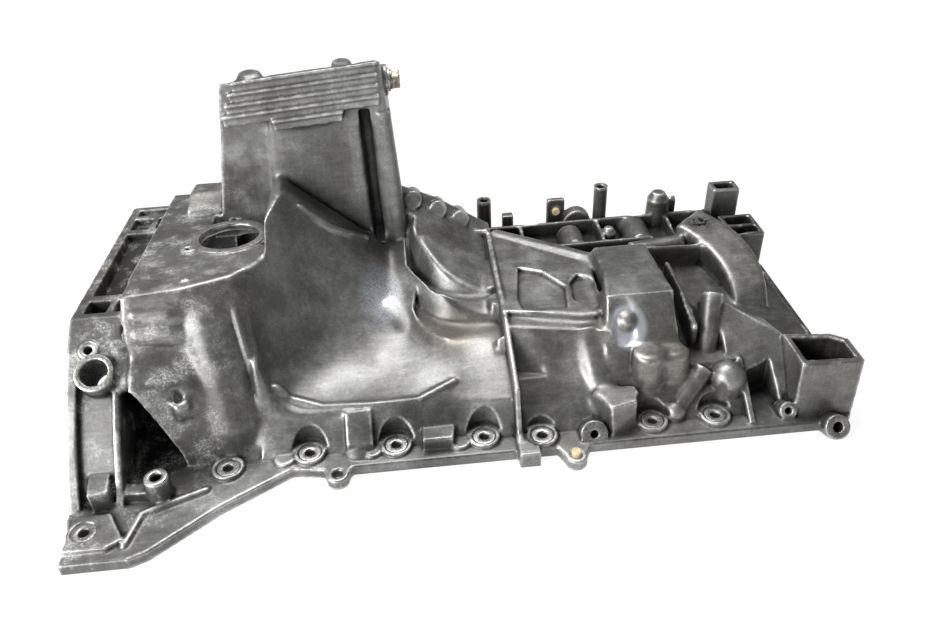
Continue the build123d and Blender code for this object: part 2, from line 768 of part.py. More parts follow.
def rail_bosses():
    sensor = Pos(sensor_x, sensor_y, deck_z(sensor_y)) * Rot(-deck_tilt, 0, 0)
    bosses = [sensor * Cylinder(sensor_ring_radius, sensor_ring_height * 2)]
    for turn in (90, 210, 330):
        screw = sensor * Rot(0, 0, turn) * Pos(sensor_screw_circle, 0, 0)
        bosses.append(screw * Cylinder(7, sensor_ring_height * 2))
    for x, y in front_bolts + back_bolts + end_bolts + plate_bolts:
        bosses.append(post(x, y, 0, boss_height, boss_radius))
    for x, y, z, radius, length, hole in tilted_bosses:
        bosses.append(tilted_boss(x, y, z, radius, length))
    return bosses


def shoulder_details():
    """Bolt pad, block and post on the foot plate, lug on the shoulder and the raised deck back."""
    left = -half_length
    plate = -foot_plate_half_width
    pad = prism_z([(left + 7, plate + 45), (left + 36, plate + 46), (left + 52, plate + 18),
                   (left + 40, plate + 10), (left + 7, plate + 10)], 0, boss_height)
    block = prism_z([(left + 12, -150), (left + 30, -150), (left + 36, -188), (left + 20, -190)], 0, 30)
    upright = tapered_post(left + 72, -178, 0, 32, 11, 9.5)
    web = prism_z([(left + 44, -182), (left + 70, -184), (left + 70, -172), (left + 44, -170)], 0, 20)
    lug_block = prism_z([(-263, -100), (-261, -130), (-250, -141), (-240, -136), (-236, -100)], 54, 71)
    raised = prism_x([(64, 120), (70, 139), (96, 146), (124, 142), (130, 100)], -262, -196)
    return [pad, block, upright, web, lug_block, raised]


def shoulder_holes():
    """Holes in the foot plate's post, the shoulder's lug and the slanted post."""
    x, y, z = slanted_post_top
    return [post(72 - half_length, -178, 14, 40, 5), post(-250, -129, 50, 80, 3.6), post(x, y, z - 14, z + 20, 3)]


def lip_details():
    """Raised tab under the scoop's lip, a low dome below it and round pads beside the bolts."""
    tab = prism_x([(-150, 0), (-150, 20), (-128, scoop_lip_z + 1), (-118, scoop_lip_z - 6), (-118, 0)], -117, -94)
    dome = Pos(-106, -144, -4) * Sphere(21)
    pads = [post(x - 21, -bolt_y - 3, 0, boss_height - 1, 9) for x, y in front_bolts[1:4]]
    panel = prism_z([(-52, -155), (-26, -155), (-22, -132), (-36, -124), (-52, -132)], 0, 22)
    return [tab, dome, panel] + pads


def back_bumps():
    """Three round ribs over the back edge, right of the tower."""
    return [rod((x, 70, z), (x, 124, z - 22), 9) for x, z in ((-42, 132), (-18, 119), (4, 106))]


def rail_holes():
    holes = [post(x, y, -1, rail_thickness + 1, lug_hole_radius) for x, y in lug_holes]
    holes.append(rod((tab_x, tab_y - tab_thickness, tab_hole_z), (tab_x, tab_y + tab_thickness, tab_hole_z),
                     lug_hole_radius))
    plug_hole = Pos(plug_seat_x - 10, plug_y, plug_z) * Rot(0, 90, 0) * Cylinder(plug_thread_radius, 30)
    sensor = Pos(sensor_x, sensor_y, deck_z(sensor_y)) * Rot(-deck_tilt, 0, 0)
    holes += [plug_hole, sensor * Cylinder(sensor_bore_radius, 40)]
    for turn in (90, 210, 330):
        holes.append(sensor * Rot(0, 0, turn) * Pos(sensor_screw_circle, 0, 0) * Cylinder(sensor_screw_radius, 20))
    for x, y in front_bolts + back_bolts + end_bolts + plate_bolts:
        holes.append(post(x, y, -1, boss_height + 1, bolt_hole_radius))
        holes.append(post(x, y, boss_height - spot_face_depth, boss_height + 1, spot_face_radius))
    for x, y, z, radius, length, hole in tilted_bosses:
        start = Vector(x, y, z) - boss_lean * 13
        holes.append(rod(tuple(start), tuple(start + boss_lean * 16), hole))
    return holes


def boss_clearances(extra=0, z_low=None):
    """Upright scallops in the walls that clear the bolt heads."""
    base = boss_height if z_low is None else z_low
    return [post(x, y, base, 120, boss_clearance_radius + extra) for x, y in front_bolts + back_bolts]


def hollow():
    """Inside of the pan: every body drawn in by the wall, less what hangs into it."""
    inside = deck_body(wall) + [ramp_body(wall), floor_body(wall), buttress_body(wall)]
    inside += [housing_body(wall), middle_body(wall)]
    inside -= [scoop(wall), shoulder_pocket(wall), ridge_hollow(wall)] + terraces(wall)
    inside += tower_body(wall)
    inside -= [tower_groove(wall), tower_left_recess(wall)]
    inside -= [prism_z(box_plan(wall), -1, box_height), web_pocket(wall)]
    inside -= boss_clearances(wall, -10)
    sensor = Pos(sensor_x, sensor_y, deck_z(sensor_y)) * Rot(-deck_tilt, 0, 0)
    inside += sensor * Pos(0, 0, -wall - 25) * Cylinder(sensor_bore_radius + 5, 50)
    return inside


def casting():
    outer = deck_body() + [ramp_body(), floor_body(), buttress_body(), housing_body(), middle_body()]
    outer += [bell(), rail()] + back_bumps()
    outer -= [scoop(), shoulder_pocket(), ridge_hollow()] + terraces() + terrace_grooves()
    outer += [tower_body()]
    outer -= [tower_left_recess()]
    outer += [tower_column()] + fins() + bottom_domes() + [drain_seat()]
    outer -= [tower_groove(), housing_window()]
    outer += [housing_knob()] + shoulder_details() + lip_details()
    outer += transverse_rib() + middle_top() + middle_ribs() + [beam()] + back_ledges()
    outer += back_features() + [socket(), corner_frame(), crescent()]
    outer += front_features() + web_body() + [box_bracket()]
    outer -= boss_clearances()
    outer -= [web_pocket(), box_hollow(), socket_hollow()] + corner_frame_hollow() + crown_cells()
    outer += [timing_boss()] + rail_bosses() + tall_posts()
    outer -= hollow()
    outer -= bell_hollow()
    outer -= timing_holes() + rail_holes() + shoulder_holes()
    outer -= Pos(0, 0, -50) * Box(2000, 2000, 100)
    return outer


def drain_plug():
    """Hex-headed plug screwed into the tower's side, with its collar on the washer."""
    seat = plug_seat_x + 2 + washer_thickness
    shank = Pos(seat - 6, plug_y, plug_z) * Rot(0, 90, 0) * Cylinder(plug_thread_radius, 12)
    collar = Pos(seat + 1, plug_y, plug_z) * Rot(0, 90, 0) * Cylinder(plug_collar_radius, 2)
    head = Plane(origin=(seat, plug_y, plug_z), x_dir=(0, 1, 0), z_dir=(1, 0, 0))
    head = extrude(head * RegularPolygon(plug_hex_across / 2, 6, major_radius=False), amount=plug_hex_length)
    return shank + [collar, head]


def drain_washer():
    seat = plug_seat_x + 2
    ring = Cylinder(washer_radius, washer_thickness) - Cylinder(plug_thread_radius, washer_thickness)
    return Pos(seat + washer_thickness / 2, plug_y, plug_z) * Rot(0, 90, 0) * ring


def peg(depth):
    """Short plug pushed into a hole from above, standing a little proud at z = 0."""
    body = post(0, 0, -depth, peg_proud, peg_radius)
    return fillet(body.edges().group_by(Axis.Z)[-1], peg_radius * 0.3)


os.makedirs("parts", exist_ok=True)
nodes = {
    "pan_casting": casting(),
    "drain_plug": drain_plug(),
    "drain_plug_washer": drain_washer(),
    "front_lug_peg": Pos(*lug_holes[1], rail_thickness) * peg(rail_thickness - 1),
    "rear_tab_peg": Pos(tab_x, tab_y - tab_thickness / 2, tab_hole_z) * Rot(90, 0, 0) * peg(tab_thickness - 1),
}
for name, shape in nodes.items():
    solid = shape.solids()[0] if len(shape.solids()) == 1 else shape
    export_step(solid, "parts/" + name + ".step")
    print(name, len(shape.solids()), round(shape.volume / 1000, 2), shape.is_valid)
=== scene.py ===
import bpy
import bmesh
import math
import numpy as np
from mathutils import Matrix, Vector
from mathutils.bvhtree import BVHTree


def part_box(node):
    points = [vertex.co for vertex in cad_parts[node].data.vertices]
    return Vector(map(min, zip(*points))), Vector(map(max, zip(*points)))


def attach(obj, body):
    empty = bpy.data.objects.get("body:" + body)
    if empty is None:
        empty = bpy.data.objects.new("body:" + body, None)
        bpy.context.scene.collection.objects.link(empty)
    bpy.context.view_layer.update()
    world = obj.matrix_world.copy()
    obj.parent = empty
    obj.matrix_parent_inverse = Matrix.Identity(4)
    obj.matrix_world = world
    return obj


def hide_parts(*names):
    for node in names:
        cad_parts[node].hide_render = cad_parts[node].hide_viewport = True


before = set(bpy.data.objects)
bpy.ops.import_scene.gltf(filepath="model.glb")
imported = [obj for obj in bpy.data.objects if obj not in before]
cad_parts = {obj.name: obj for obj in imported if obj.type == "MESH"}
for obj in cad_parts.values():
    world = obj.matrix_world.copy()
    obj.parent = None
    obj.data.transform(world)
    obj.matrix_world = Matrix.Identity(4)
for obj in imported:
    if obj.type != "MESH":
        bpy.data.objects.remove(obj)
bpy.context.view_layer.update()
print("frame loaded")


# small helpers
def addToScene(name, mesh):
    piece = bpy.data.objects.new(name, mesh)
    bpy.context.scene.collection.objects.link(piece)
    return piece


def bakeObject(source, name):  # the evaluated object as a plain mesh of its own
    graph = bpy.context.evaluated_depsgraph_get()
    mesh = bpy.data.meshes.new_from_object(source.evaluated_get(graph))
    mesh.name = name
    return addToScene(name, mesh)


def dropObject(piece):
    mesh = piece.data
    bpy.data.objects.remove(piece)
    if mesh.users == 0:
        bpy.data.meshes.remove(mesh)


def readPoints(mesh):
    points = np.empty(len(mesh.vertices) * 3)
    mesh.vertices.foreach_get("co", points)
    return points.reshape(-1, 3)


def writePoints(mesh, points):
    mesh.vertices.foreach_set("co", points.ravel())
    mesh.update()


def readNormals(mesh):
    normals = np.empty(len(mesh.vertices) * 3)
    mesh.vertices.foreach_get("normal", normals)
    return normals.reshape(-1, 3)


def readEdges(mesh):
    ends = np.empty(len(mesh.edges) * 2, dtype=np.int64)
    mesh.edges.foreach_get("vertices", ends)
    return ends.reshape(-1, 2)


def neighbourMean(values, ends, count):  # mean of each vertex's neighbours
    first, second = ends[:, 0], ends[:, 1]
    size = len(values)
    total = np.empty_like(values)
    for column in range(values.shape[1]):
        total[:, column] = np.bincount(first, values[second, column], size)
        total[:, column] += np.bincount(second, values[first, column], size)
    return total / count[:, None]


def neighbourCount(ends, size):
    return np.maximum(np.bincount(ends.ravel(), minlength=size), 1)


# cast skin
castSkin = {
    "mergeReach": 0.00002,
    "voxel": 0.00115,
    "quickVoxel": 0.0021,
    "relax": 0.55,  # way to the neighbours' mean in one step
    "relaxSteps": 3,
    "softSteps": 42,
    "quickSoftSteps": 14,
    "softBorder": 0.008,
    "crispRise": 1.6,  # the softening grows this many times faster beside what stays crisp
    "crispLeast": 0.06,
    "gasketBand": 0.0012,
    "gasketRelax": 0.1,
    "gasketHeight": 0.2,  # share of its height that the band keeps
    "triangles": 555000,  # for all three parts
    "parts": ("castingBellEnd", "castingSump", "castingFrontEnd"),
}

# axes of the bolt seats, which were machined after casting
machinedSeats = [(x / 1000, y / 1000) for x, y in (
    (-217, -156), (-149, -147), (-75, -147), (1, -147), (51, -152), (149, -147), (205, -147),
    (-217, 156), (-149, 147), (-75, 147), (1, 147), (86, 147), (205, 147), (275, 147),
    (322, -40), (322, 60), (-321, -212), (-321, 212),
)]
seatBand = {"radius": 0.0125, "low": 0.007, "high": 0.02, "relax": 0.15, "ringTop": 0.01245}


def mergedCopy(node, name):  # a CAD node's loose triangles, joined
    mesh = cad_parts[node].data.copy()
    work = bmesh.new()
    work.from_mesh(mesh)
    bmesh.ops.remove_doubles(work, verts=work.verts, dist=castSkin["mergeReach"])
    work.to_mesh(mesh)
    work.free()
    mesh.materials.clear()
    return addToScene(name, mesh)


# swellings that the skin takes in: way out, least depth along it, rod through (x, y, z, radius), in mm
castSwellings = {
    "shoulderColumn": ((0.30, -0.82, 0.48), 14, [
        (-236, -66, 128, 20), (-229, -72, 116, 26), (-220, -97, 70, 27), (-213, -118, 26, 25),
        (-211, -124, 10, 20)]),
    "shoulderRib": ((0.60, -0.60, 0.53), -1, [
        (-205, -62, 142, 6), (-200, -78, 120, 6), (-194, -97, 85, 6), (-184, -112, 52, 6)]),
    "shoulderPanelTop": ((0.12, -0.91, 0.39), 8, [(-278, -85.5, 125.6, 14), (-250, -85.5, 125.6, 14)]),
    "shoulderPanelFoot": ((0.12, -0.91, 0.39), 8, [(-279, -91.5, 111.6, 14), (-250, -91.5, 111.6, 14)]),
    "pocketWeb": ((0, 0, 1), -9, [(-304, -74, 102, 9), (-297, -92, 96, 9), (-291, -118, 82, 8)]),
    "terraceEnd": ((0, 0, 1), -8, [(-50, -2, 60, 8), (-45, 2, 58, 8)]),
    "scoopSweep": ((0, -0.4, 0.92), 10, [
        (-77, -7, 54, 16), (-56, -37, 39, 16), (-29, -69, 40, 16), (-12, -84, 37, 15)]),
    "scoopLip": ((0, -0.3, 0.95), -1, [
        (-175, -108, 54, 5), (-165, -110, 42, 5), (-136, -118, 35.5, 5), (-92, -121, 35.5, 5),
        (-52, -121, 36.5, 5), (-20, -106, 41.5, 5)]),
    "ridgeLip": ((0.58, -0.53, 0.62), -1.5, [
        (-148, 25, 156, 5), (-133, 24, 142, 5), (-121, 25, 132, 5), (-106, 31, 121, 5), (-92, 40, 110, 4.5)]),
    "leftDome": ((0, 0, 1), 6, [(-182, 77, 250.5, 14), (-174, 77, 251.2, 14)]),
    "rightDome": ((0, 0, 1), 5, [(-98, 75, 258.4, 12), (-93, 75, 258.8, 12)]),
    "footBead": ((0, 0, 1), -3, [
        (-287, -226, 10.5, 3.2), (-280, -197, 10.5, 3.2), (-264, -190, 10.5, 3.2), (-232, -177, 10.5, 3.2)]),
}

finEdges = {  # rolled edges along the fins of the tower's head
    "count": 5,
    "longCount": 4,
    "left": -0.193,
    "leftStep": 0.004,
    "right": -0.065,
    "shortEnds": (-0.161, -0.099),
    "front": 0.06,
    "step": 0.0024,
    "top": 0.2688,
    "topAt": -0.132,  # x where the first fin has that height
    "drop": 0.009,
    "slope": math.tan(math.radians(4.3)),
    "roll": 0.0018,
    "sides": 12,
}

rodDome = ((0.92, 0.38), (0.6, 0.8))  # way out and width of each step of a rod's end, over its radius


def finRods():  # one rod along the top of each fin
    rods = []
    for index in range(finEdges["count"]):
        ends = (finEdges["left"] - index * finEdges["leftStep"], finEdges["right"])
        if index >= finEdges["longCount"]:
            ends = finEdges["shortEnds"]
        y = finEdges["front"] - finEdges["step"] * index
        top = finEdges["top"] - index * finEdges["drop"]
        heights = [top + (x - finEdges["topAt"]) * finEdges["slope"] for x in ends]
        rods.append([(x, y, z, finEdges["roll"]) for x, z in zip(ends, heights)])
    return rods


def addRod(work, path, out=(0, 0, 1), least=-1, sides=20):  # domed ends, cut flat below its least depth
    out = Vector(out).normalized()
    places = [Vector(step[:3]) for step in path]
    radii = [step[3] for step in path]
    first, last = (places[1] - places[0]).normalized(), (places[-1] - places[-2]).normalized()
    stations = [(places[0] - first * radii[0] * way, radii[0] * width) for way, width in rodDome]
    stations += zip(places, radii)
    stations += [(places[-1] + last * radii[-1] * way, radii[-1] * width) for way, width in reversed(rodDome)]
    side = first.orthogonal().normalized()
    loops = []
    for index, (centre, radius) in enumerate(stations):
        before, after = stations[max(index - 1, 0)][0], stations[min(index + 1, len(stations) - 1)][0]
        along = (after - before).normalized()
        side = (side - along * side.dot(along)).normalized()
        other = along.cross(side)
        turns = [2 * math.pi * step / sides for step in range(sides)]
        spokes = [(side * math.cos(turn) + other * math.sin(turn)) * radius for turn in turns]
        lifts = [out * max(least - spoke.dot(out), 0) for spoke in spokes]
        loops.append([work.verts.new(centre + spoke + lift) for spoke, lift in zip(spokes, lifts)])
    for low, high in zip(loops, loops[1:]):
        for index in range(sides):
            after = (index + 1) % sides
            work.faces.new((low[index], low[after], high[after], high[index]))
    work.faces.new(list(reversed(loops[0])))
    work.faces.new(loops[-1])


def addSwellings(mesh):
    work = bmesh.new()
    work.from_mesh(mesh)
    for out, least, path in castSwellings.values():
        addRod(work, [tuple(value / 1000 for value in step) for step in path], out, least / 1000)
    for path in finRods():
        addRod(work, path, sides=finEdges["sides"])
    work.to_mesh(mesh)
    work.free()


# swellings that keep their edges inside the soft zones
crispSwellings = ("scoopLip", "ridgeLip", "shoulderRib", "terraceEnd", "shoulderPanelTop",
                  "shoulderPanelFoot")

# boxes where the casting's edges are generously round: low corner, high corner, in mm
softZones = [
    ((-300, -150, 14), (-182, -58, 152)), ((-216, 48, 100), (-52, 165, 222)),
    ((-190, -132, 18), (-52, 58, 186)), ((34, -125, 46), (112, -62, 92)), ((112, -96, 34), (200, 40, 96)),
    ((200, -60, 30), (318, 110, 84)), ((60, -150, 16), (130, -80, 60)), ((-52, -130, 30), (26, 70, 112)),
    ((136, -134, 14), (194, -94, 72)), ((-196, 58, 256), (-160, 94, 277)), ((-112, 58, 258), (-80, 94, 278)),
]


def awayFrom(points, path):  # distance to the skin of a rod, each stretch as wide as it starts
    least = np.full(len(points), np.inf)
    for first, last in zip(path, path[1:]):
        start, end = (np.array(step[:3]) / 1000 for step in (first, last))
        span = end - start
        share = np.clip(((points - start) @ span) / (span @ span), 0, 1)
        away = np.linalg.norm(points - start - share[:, None] * span, axis=1) - first[3] / 1000
        least = np.minimum(least, away)
    return least


def softShare(points):  # 1 inside the zones, falling to 0 at their borders and to little on crisp swellings
    share = np.zeros(len(points))
    for low, high in softZones:
        inside = np.minimum(points - np.array(low) / 1000, np.array(high) / 1000 - points).min(1)
        share = np.maximum(share, np.clip(inside / castSkin["softBorder"], 0, 1))
    inZone = np.flatnonzero(share > 0)
    for name in crispSwellings:
        away = awayFrom(points[inZone], castSwellings[name][2])
        rise = away / castSkin["softBorder"] * castSkin["crispRise"]
        share[inZone] *= np.clip(rise, castSkin["crispLeast"], 1)
    return share


def softenZones(mesh):
    points, ends = readPoints(mesh), readEdges(mesh)
    share = softShare(points)
    inZone = share > 0
    used = np.flatnonzero(inZone)
    local = np.zeros(len(points), dtype=np.int64)
    local[used] = np.arange(len(used))
    ends = local[ends[inZone[ends[:, 0]] & inZone[ends[:, 1]]]]
    work = points[used]
    weight = share[used][:, None] * castSkin["relax"]
    count = neighbourCount(ends, len(work))
    for step in range(castSkin["softSteps"]):
        work += (neighbourMean(work, ends, count) - work) * weight
    points[used] = work
    writePoints(mesh, points)
    print("softened", len(used))


def relaxShare(points):  # 1 on cast skin, little on machined faces
    share = np.ones(len(points))
    height = points[:, 2]
    for x, y in machinedSeats:
        away = np.hypot(points[:, 0] - x, points[:, 1] - y)
        near = (away < seatBand["radius"]) & (height > seatBand["low"]) & (height < seatBand["high"])
        share[near] = seatBand["relax"]
    share[height < castSkin["gasketBand"]] = castSkin["gasketRelax"]
    return share


def relaxSkin(mesh):  # rounds every cast edge and corner a little, and presses the gasket face flat
    points, ends = readPoints(mesh), readEdges(mesh)
    count = neighbourCount(ends, len(points))
    share = relaxShare(points)[:, None]
    onGasket = points[:, 2] < castSkin["gasketBand"]
    for step in range(castSkin["relaxSteps"]):
        mean = neighbourMean(points, ends, count)
        points += (mean - points) * castSkin["relax"] * share
    points[onGasket, 2] = np.clip(points[onGasket, 2], 0, None) * castSkin["gasketHeight"]
    writePoints(mesh, points)


def buildWholeSkin():
    rough = mergedCopy("pan_casting", "castRough")
    addSwellings(rough.data)
    remesh = rough.modifiers.new("voxels", "REMESH")
    remesh.mode = "VOXEL"
    remesh.voxel_size = castSkin["voxel"]
    dense = bakeObject(rough, "castDense")
    dropObject(rough)
    print("voxels", len(dense.data.vertices))
    relaxSkin(dense.data)
    softenZones(dense.data)
    thin = dense.modifiers.new("thin", "DECIMATE")
    thin.ratio = min(1.0, castSkin["triangles"] / (2 * len(dense.data.polygons)))  # two in each voxel face
    thin.use_collapse_triangulate = True
    skin = bakeObject(dense, "castWhole")
    dropObject(dense)
    print("skin", len(skin.data.polygons))
    return skin


# wear, dirt, painted highlight and painted shade read from the shape
skinMarks = {
    "blur": 0.6,  # share of the neighbours' mean in one step
    "sharpest": 900,  # bends in 1/m
    "crestBend": 170,
    "crestSteps": 2,
    "cornerBend": 220,
    "cornerSteps": 4,
    "skyRays": 9,
    "skyTurn": 2.39996,  # golden angle
    "skyLift": 0.0008,
    "skyReach": 0.07,
    "skySteps": 3,
    "coverWays": ((0, 0, 1), (0, -1, 0.5), (-1, 0, 0.5), (1, 0, 0.5)),
    "coverLift": 0.002,
    "coverReach": 0.5,
}


def blurred(values, ends, count, steps):
    blur = skinMarks["blur"]
    for step in range(steps):
        values = values * (1 - blur) + neighbourMean(values, ends, count) * blur
    return values


def shapeBend(mesh, steps):  # above 0 on crests, below 0 in corners, in 1/m
    points, normals, ends = readPoints(mesh), readNormals(mesh), readEdges(mesh)
    count = neighbourCount(ends, len(points))
    span = np.linalg.norm(points[ends[:, 0]] - points[ends[:, 1]], axis=1)
    reach = np.bincount(ends[:, 0], span**2, len(points)) + np.bincount(ends[:, 1], span**2, len(points))
    bend = ((points - neighbourMean(points, ends, count)) * normals).sum(1) / (reach / count + 1e-9)
    bend = np.clip(bend, -skinMarks["sharpest"], skinMarks["sharpest"])[:, None]
    return blurred(bend, ends, count, steps)[:, 0]


def skyDirections(rays):  # even spread of unit vectors on a half sphere round +Z
    spread = []
    for index in range(rays):
        height = 1 - (index + 0.5) / rays
        turn = index * skinMarks["skyTurn"]
        side = math.sqrt(1 - height * height)
        spread.append(Vector((side * math.cos(turn), side * math.sin(turn), height)))
    return spread


def meets(tree, start, way, reach):
    return tree.ray_cast(start, way, reach)[0] is not None


def coveredShare(tree, points, normals):  # 1 where the casting lies above on every side, as inside it
    starts = points + normals * skinMarks["coverLift"]
    ways = [Vector(way).normalized() for way in skinMarks["coverWays"]]
    return np.array([all(meets(tree, Vector(start), way, skinMarks["coverReach"]) for way in ways)
                     for start in starts], dtype=float)


def hiddenShare(tree, points, normals):  # share of its own sky that a vertex doesn't see
    spread = skyDirections(skinMarks["skyRays"])
    hidden = np.zeros(len(points))
    up = Vector((0, 0, 1))
    for index in range(len(points)):
        normal = Vector(normals[index])
        start = Vector(points[index]) + normal * skinMarks["skyLift"]
        turnTo = up.rotation_difference(normal)
        hits = sum(meets(tree, start, turnTo @ ray, skinMarks["skyReach"]) for ray in spread)
        hidden[index] = hits / len(spread)
    return hidden


def markSkin(skin):
    mesh = skin.data
    points, normals, ends = readPoints(mesh), readNormals(mesh), readEdges(mesh)
    tree = BVHTree.FromObject(skin, bpy.context.evaluated_depsgraph_get())
    sky = np.stack([hiddenShare(tree, points, normals), coveredShare(tree, points, normals)], 1)
    sky = blurred(sky, ends, neighbourCount(ends, len(points)), skinMarks["skySteps"])
    return {
        "crest": np.clip(shapeBend(mesh, skinMarks["crestSteps"]) / skinMarks["crestBend"], 0, 1),
        "corner": np.clip(-shapeBend(mesh, skinMarks["cornerSteps"]) / skinMarks["cornerBend"], 0, 1),
        "hidden": sky[:, 0],
        "covered": sky[:, 1],
    }


def cutSkin(skin, marks):  # three lengths of one skin, with the normals of the whole
    mesh = skin.data
    points, normals = readPoints(mesh), readNormals(mesh)
    corners = np.empty(len(mesh.polygons) * 3, dtype=np.int64)
    mesh.polygons.foreach_get("vertices", corners)
    corners = corners.reshape(-1, 3)
    along = points[corners, 0].mean(1)
    names = castSkin["parts"]
    inner = [np.quantile(along, (index + 1) / len(names)) for index in range(len(names) - 1)]
    limits = [-math.inf, *inner, math.inf]
    pieces = []
    for index, name in enumerate(names):
        own = corners[(along > limits[index]) & (along <= limits[index + 1])]
        used, local = np.unique(own, return_inverse=True)
        part = bpy.data.meshes.new(name)
        part.from_pydata(points[used].tolist(), [], local.reshape(-1, 3).tolist())
        part.shade_smooth()
        for label, values in marks.items():
            layer = part.attributes.new(label, "FLOAT", "POINT")
            layer.data.foreach_set("value", values[used].astype(np.float32))
        part.normals_split_custom_set_from_vertices(normals[used].tolist())
        pieces.append(addToScene(name, part))
    return pieces


wholeSkin = buildWholeSkin()
skinPieces = cutSkin(wholeSkin, markSkin(wholeSkin))
dropObject(wholeSkin)
print("wear and dirt marked")


# shader groups
def newGroup(name, inputs, outputs):  # inputs with a value are numbers, one without is a vector
    group = bpy.data.node_groups.new(name, "ShaderNodeTree")
    for label, value in inputs.items():
        kind = "NodeSocketVector" if value is None else "NodeSocketFloat"
        socket = group.interface.new_socket(label, in_out="INPUT", socket_type=kind)
        if value is not None:
            socket.default_value = value
    for label in outputs:
        group.interface.new_socket(label, in_out="OUTPUT", socket_type="NodeSocketFloat")
    return group


def addNode(tree, kind, **settings):
    node = tree.nodes.new(kind)
    for key, value in settings.items():
        setattr(node, key, value)
    return node


def addNoise(tree, vector, scale, detail, roughness):
    node = addNode(tree, "ShaderNodeTexNoise")
    node.inputs["Scale"].default_value = scale
    node.inputs["Detail"].default_value = detail
    node.inputs["Roughness"].default_value = roughness
    tree.links.new(vector, node.inputs["Vector"])
    return node.outputs["Fac"]


def addMath(tree, operation, first, second, clamp=False):
    node = addNode(tree, "ShaderNodeMath", operation=operation, use_clamp=clamp)
    for socket, value in zip(node.inputs, (first, second)):
        if isinstance(value, (int, float)):
            socket.default_value = value
        else:
            tree.links.new(value, socket)
    return node.outputs[0]


def addRange(tree, value, low, high, outLow=0.0, outHigh=1.0):
    node = addNode(tree, "ShaderNodeMapRange")
    tree.links.new(value, node.inputs["Value"])
    for socket, number in zip(node.inputs[1:5], (low, high, outLow, outHigh)):
        socket.default_value = number
    return node.outputs["Result"]


def addMix(tree, factor, first, second, blend="MIX"):
    node = addNode(tree, "ShaderNodeMix", data_type="RGBA", blend_type=blend)
    colours = [socket for socket in node.inputs if socket.type == "RGBA"]
    for socket, value in ((node.inputs[0], factor), (colours[0], first), (colours[1], second)):
        if isinstance(value, (int, float)):
            socket.default_value = value
        elif isinstance(value, tuple):
            socket.default_value = (*value, 1.0)
        else:
            tree.links.new(value, socket)
    return [socket for socket in node.outputs if socket.type == "RGBA"][0]


def stretched(tree, vector, factors):
    node = addNode(tree, "ShaderNodeVectorMath", operation="MULTIPLY")
    tree.links.new(vector, node.inputs[0])
    node.inputs[1].default_value = factors
    return node.outputs["Vector"]


def nearPlace(tree, vector, centre, inner, outer, squeeze):  # 1 at a place, 0 away from it
    shift = addNode(tree, "ShaderNodeVectorMath", operation="SUBTRACT")
    tree.links.new(vector, shift.inputs[0])
    shift.inputs[1].default_value = centre
    length = addNode(tree, "ShaderNodeVectorMath", operation="LENGTH")
    tree.links.new(stretched(tree, shift.outputs["Vector"], squeeze), length.inputs[0])
    return addRange(tree, length.outputs["Value"], inner, outer, 1.0, 0.0)


def addSum(tree, *parts):  # values, each times its share, added up
    total = None
    for value, share in parts:
        part = addMath(tree, "MULTIPLY", value, share)
        total = part if total is None else addMath(tree, "ADD", total, part)
    return total


castGrain = {
    "fine": (900.0, 3.0, 0.55),  # scale in 1/m, detail, roughness
    "broad": (150.0, 5.0, 0.6),
    "cloud": (13.0, 6.0, 0.62),
    "blotch": (48.0, 7.0, 0.68),
    "speckle": (620.0, 2.0, 0.7),
    "falling": ((330, 330, 16), 4.0, 0.7),  # a scale for each axis, detail, roughness
    "slanting": ((26, 420, 300), 3.0, 0.7),
    "fineHeight": 0.3,
    "broadHeight": 0.5,
    "streakHeight": 0.2,
}


def buildGrainGroup():  # sand-like skin, clouds and draw marks of a die casting
    fineScale, fineDetail, fineRoughness = castGrain["fine"]
    group = newGroup("castGrain", {"Vector": None, "Grain": fineScale},
                     ("Height", "Cloud", "Speckle", "Streak", "Blotch"))
    start, end = addNode(group, "NodeGroupInput"), addNode(group, "NodeGroupOutput")
    vector = start.outputs["Vector"]
    fine = addNoise(group, vector, fineScale, fineDetail, fineRoughness)
    group.links.new(start.outputs["Grain"], fine.node.inputs["Scale"])
    broad, cloud, blotch, speckle = (
        addNoise(group, vector, *castGrain[name]) for name in ("broad", "cloud", "blotch", "speckle"))
    falling, slanting = (
        addNoise(group, stretched(group, vector, scales), 1.0, detail, roughness)
        for scales, detail, roughness in (castGrain["falling"], castGrain["slanting"]))
    streak = addMath(group, "MAXIMUM", falling, slanting)
    height = addSum(group, (fine, castGrain["fineHeight"]), (broad, castGrain["broadHeight"]),
                    (streak, castGrain["streakHeight"]))
    for label, value in (("Height", height), ("Cloud", cloud), ("Speckle", speckle), ("Streak", streak),
                         ("Blotch", blotch)):
        group.links.new(value, end.inputs[label])
    return group


wearRanges = {  # value read: from, to, and what it becomes there where that isn't 0 and 1
    "crest": (0.1, 0.55),
    "crestBlotch": (0.38, 0.6, 0.25, 1.0),
    "crestSpeckle": (0.3, 0.6, 0.6, 1.0),
    "hidden": (0.2, 0.75),
    "corner": (0.08, 0.6, 0.0, 0.7),
    "dirtAndShadeCloud": (0.25, 0.6, 0.65, 1.0),
}


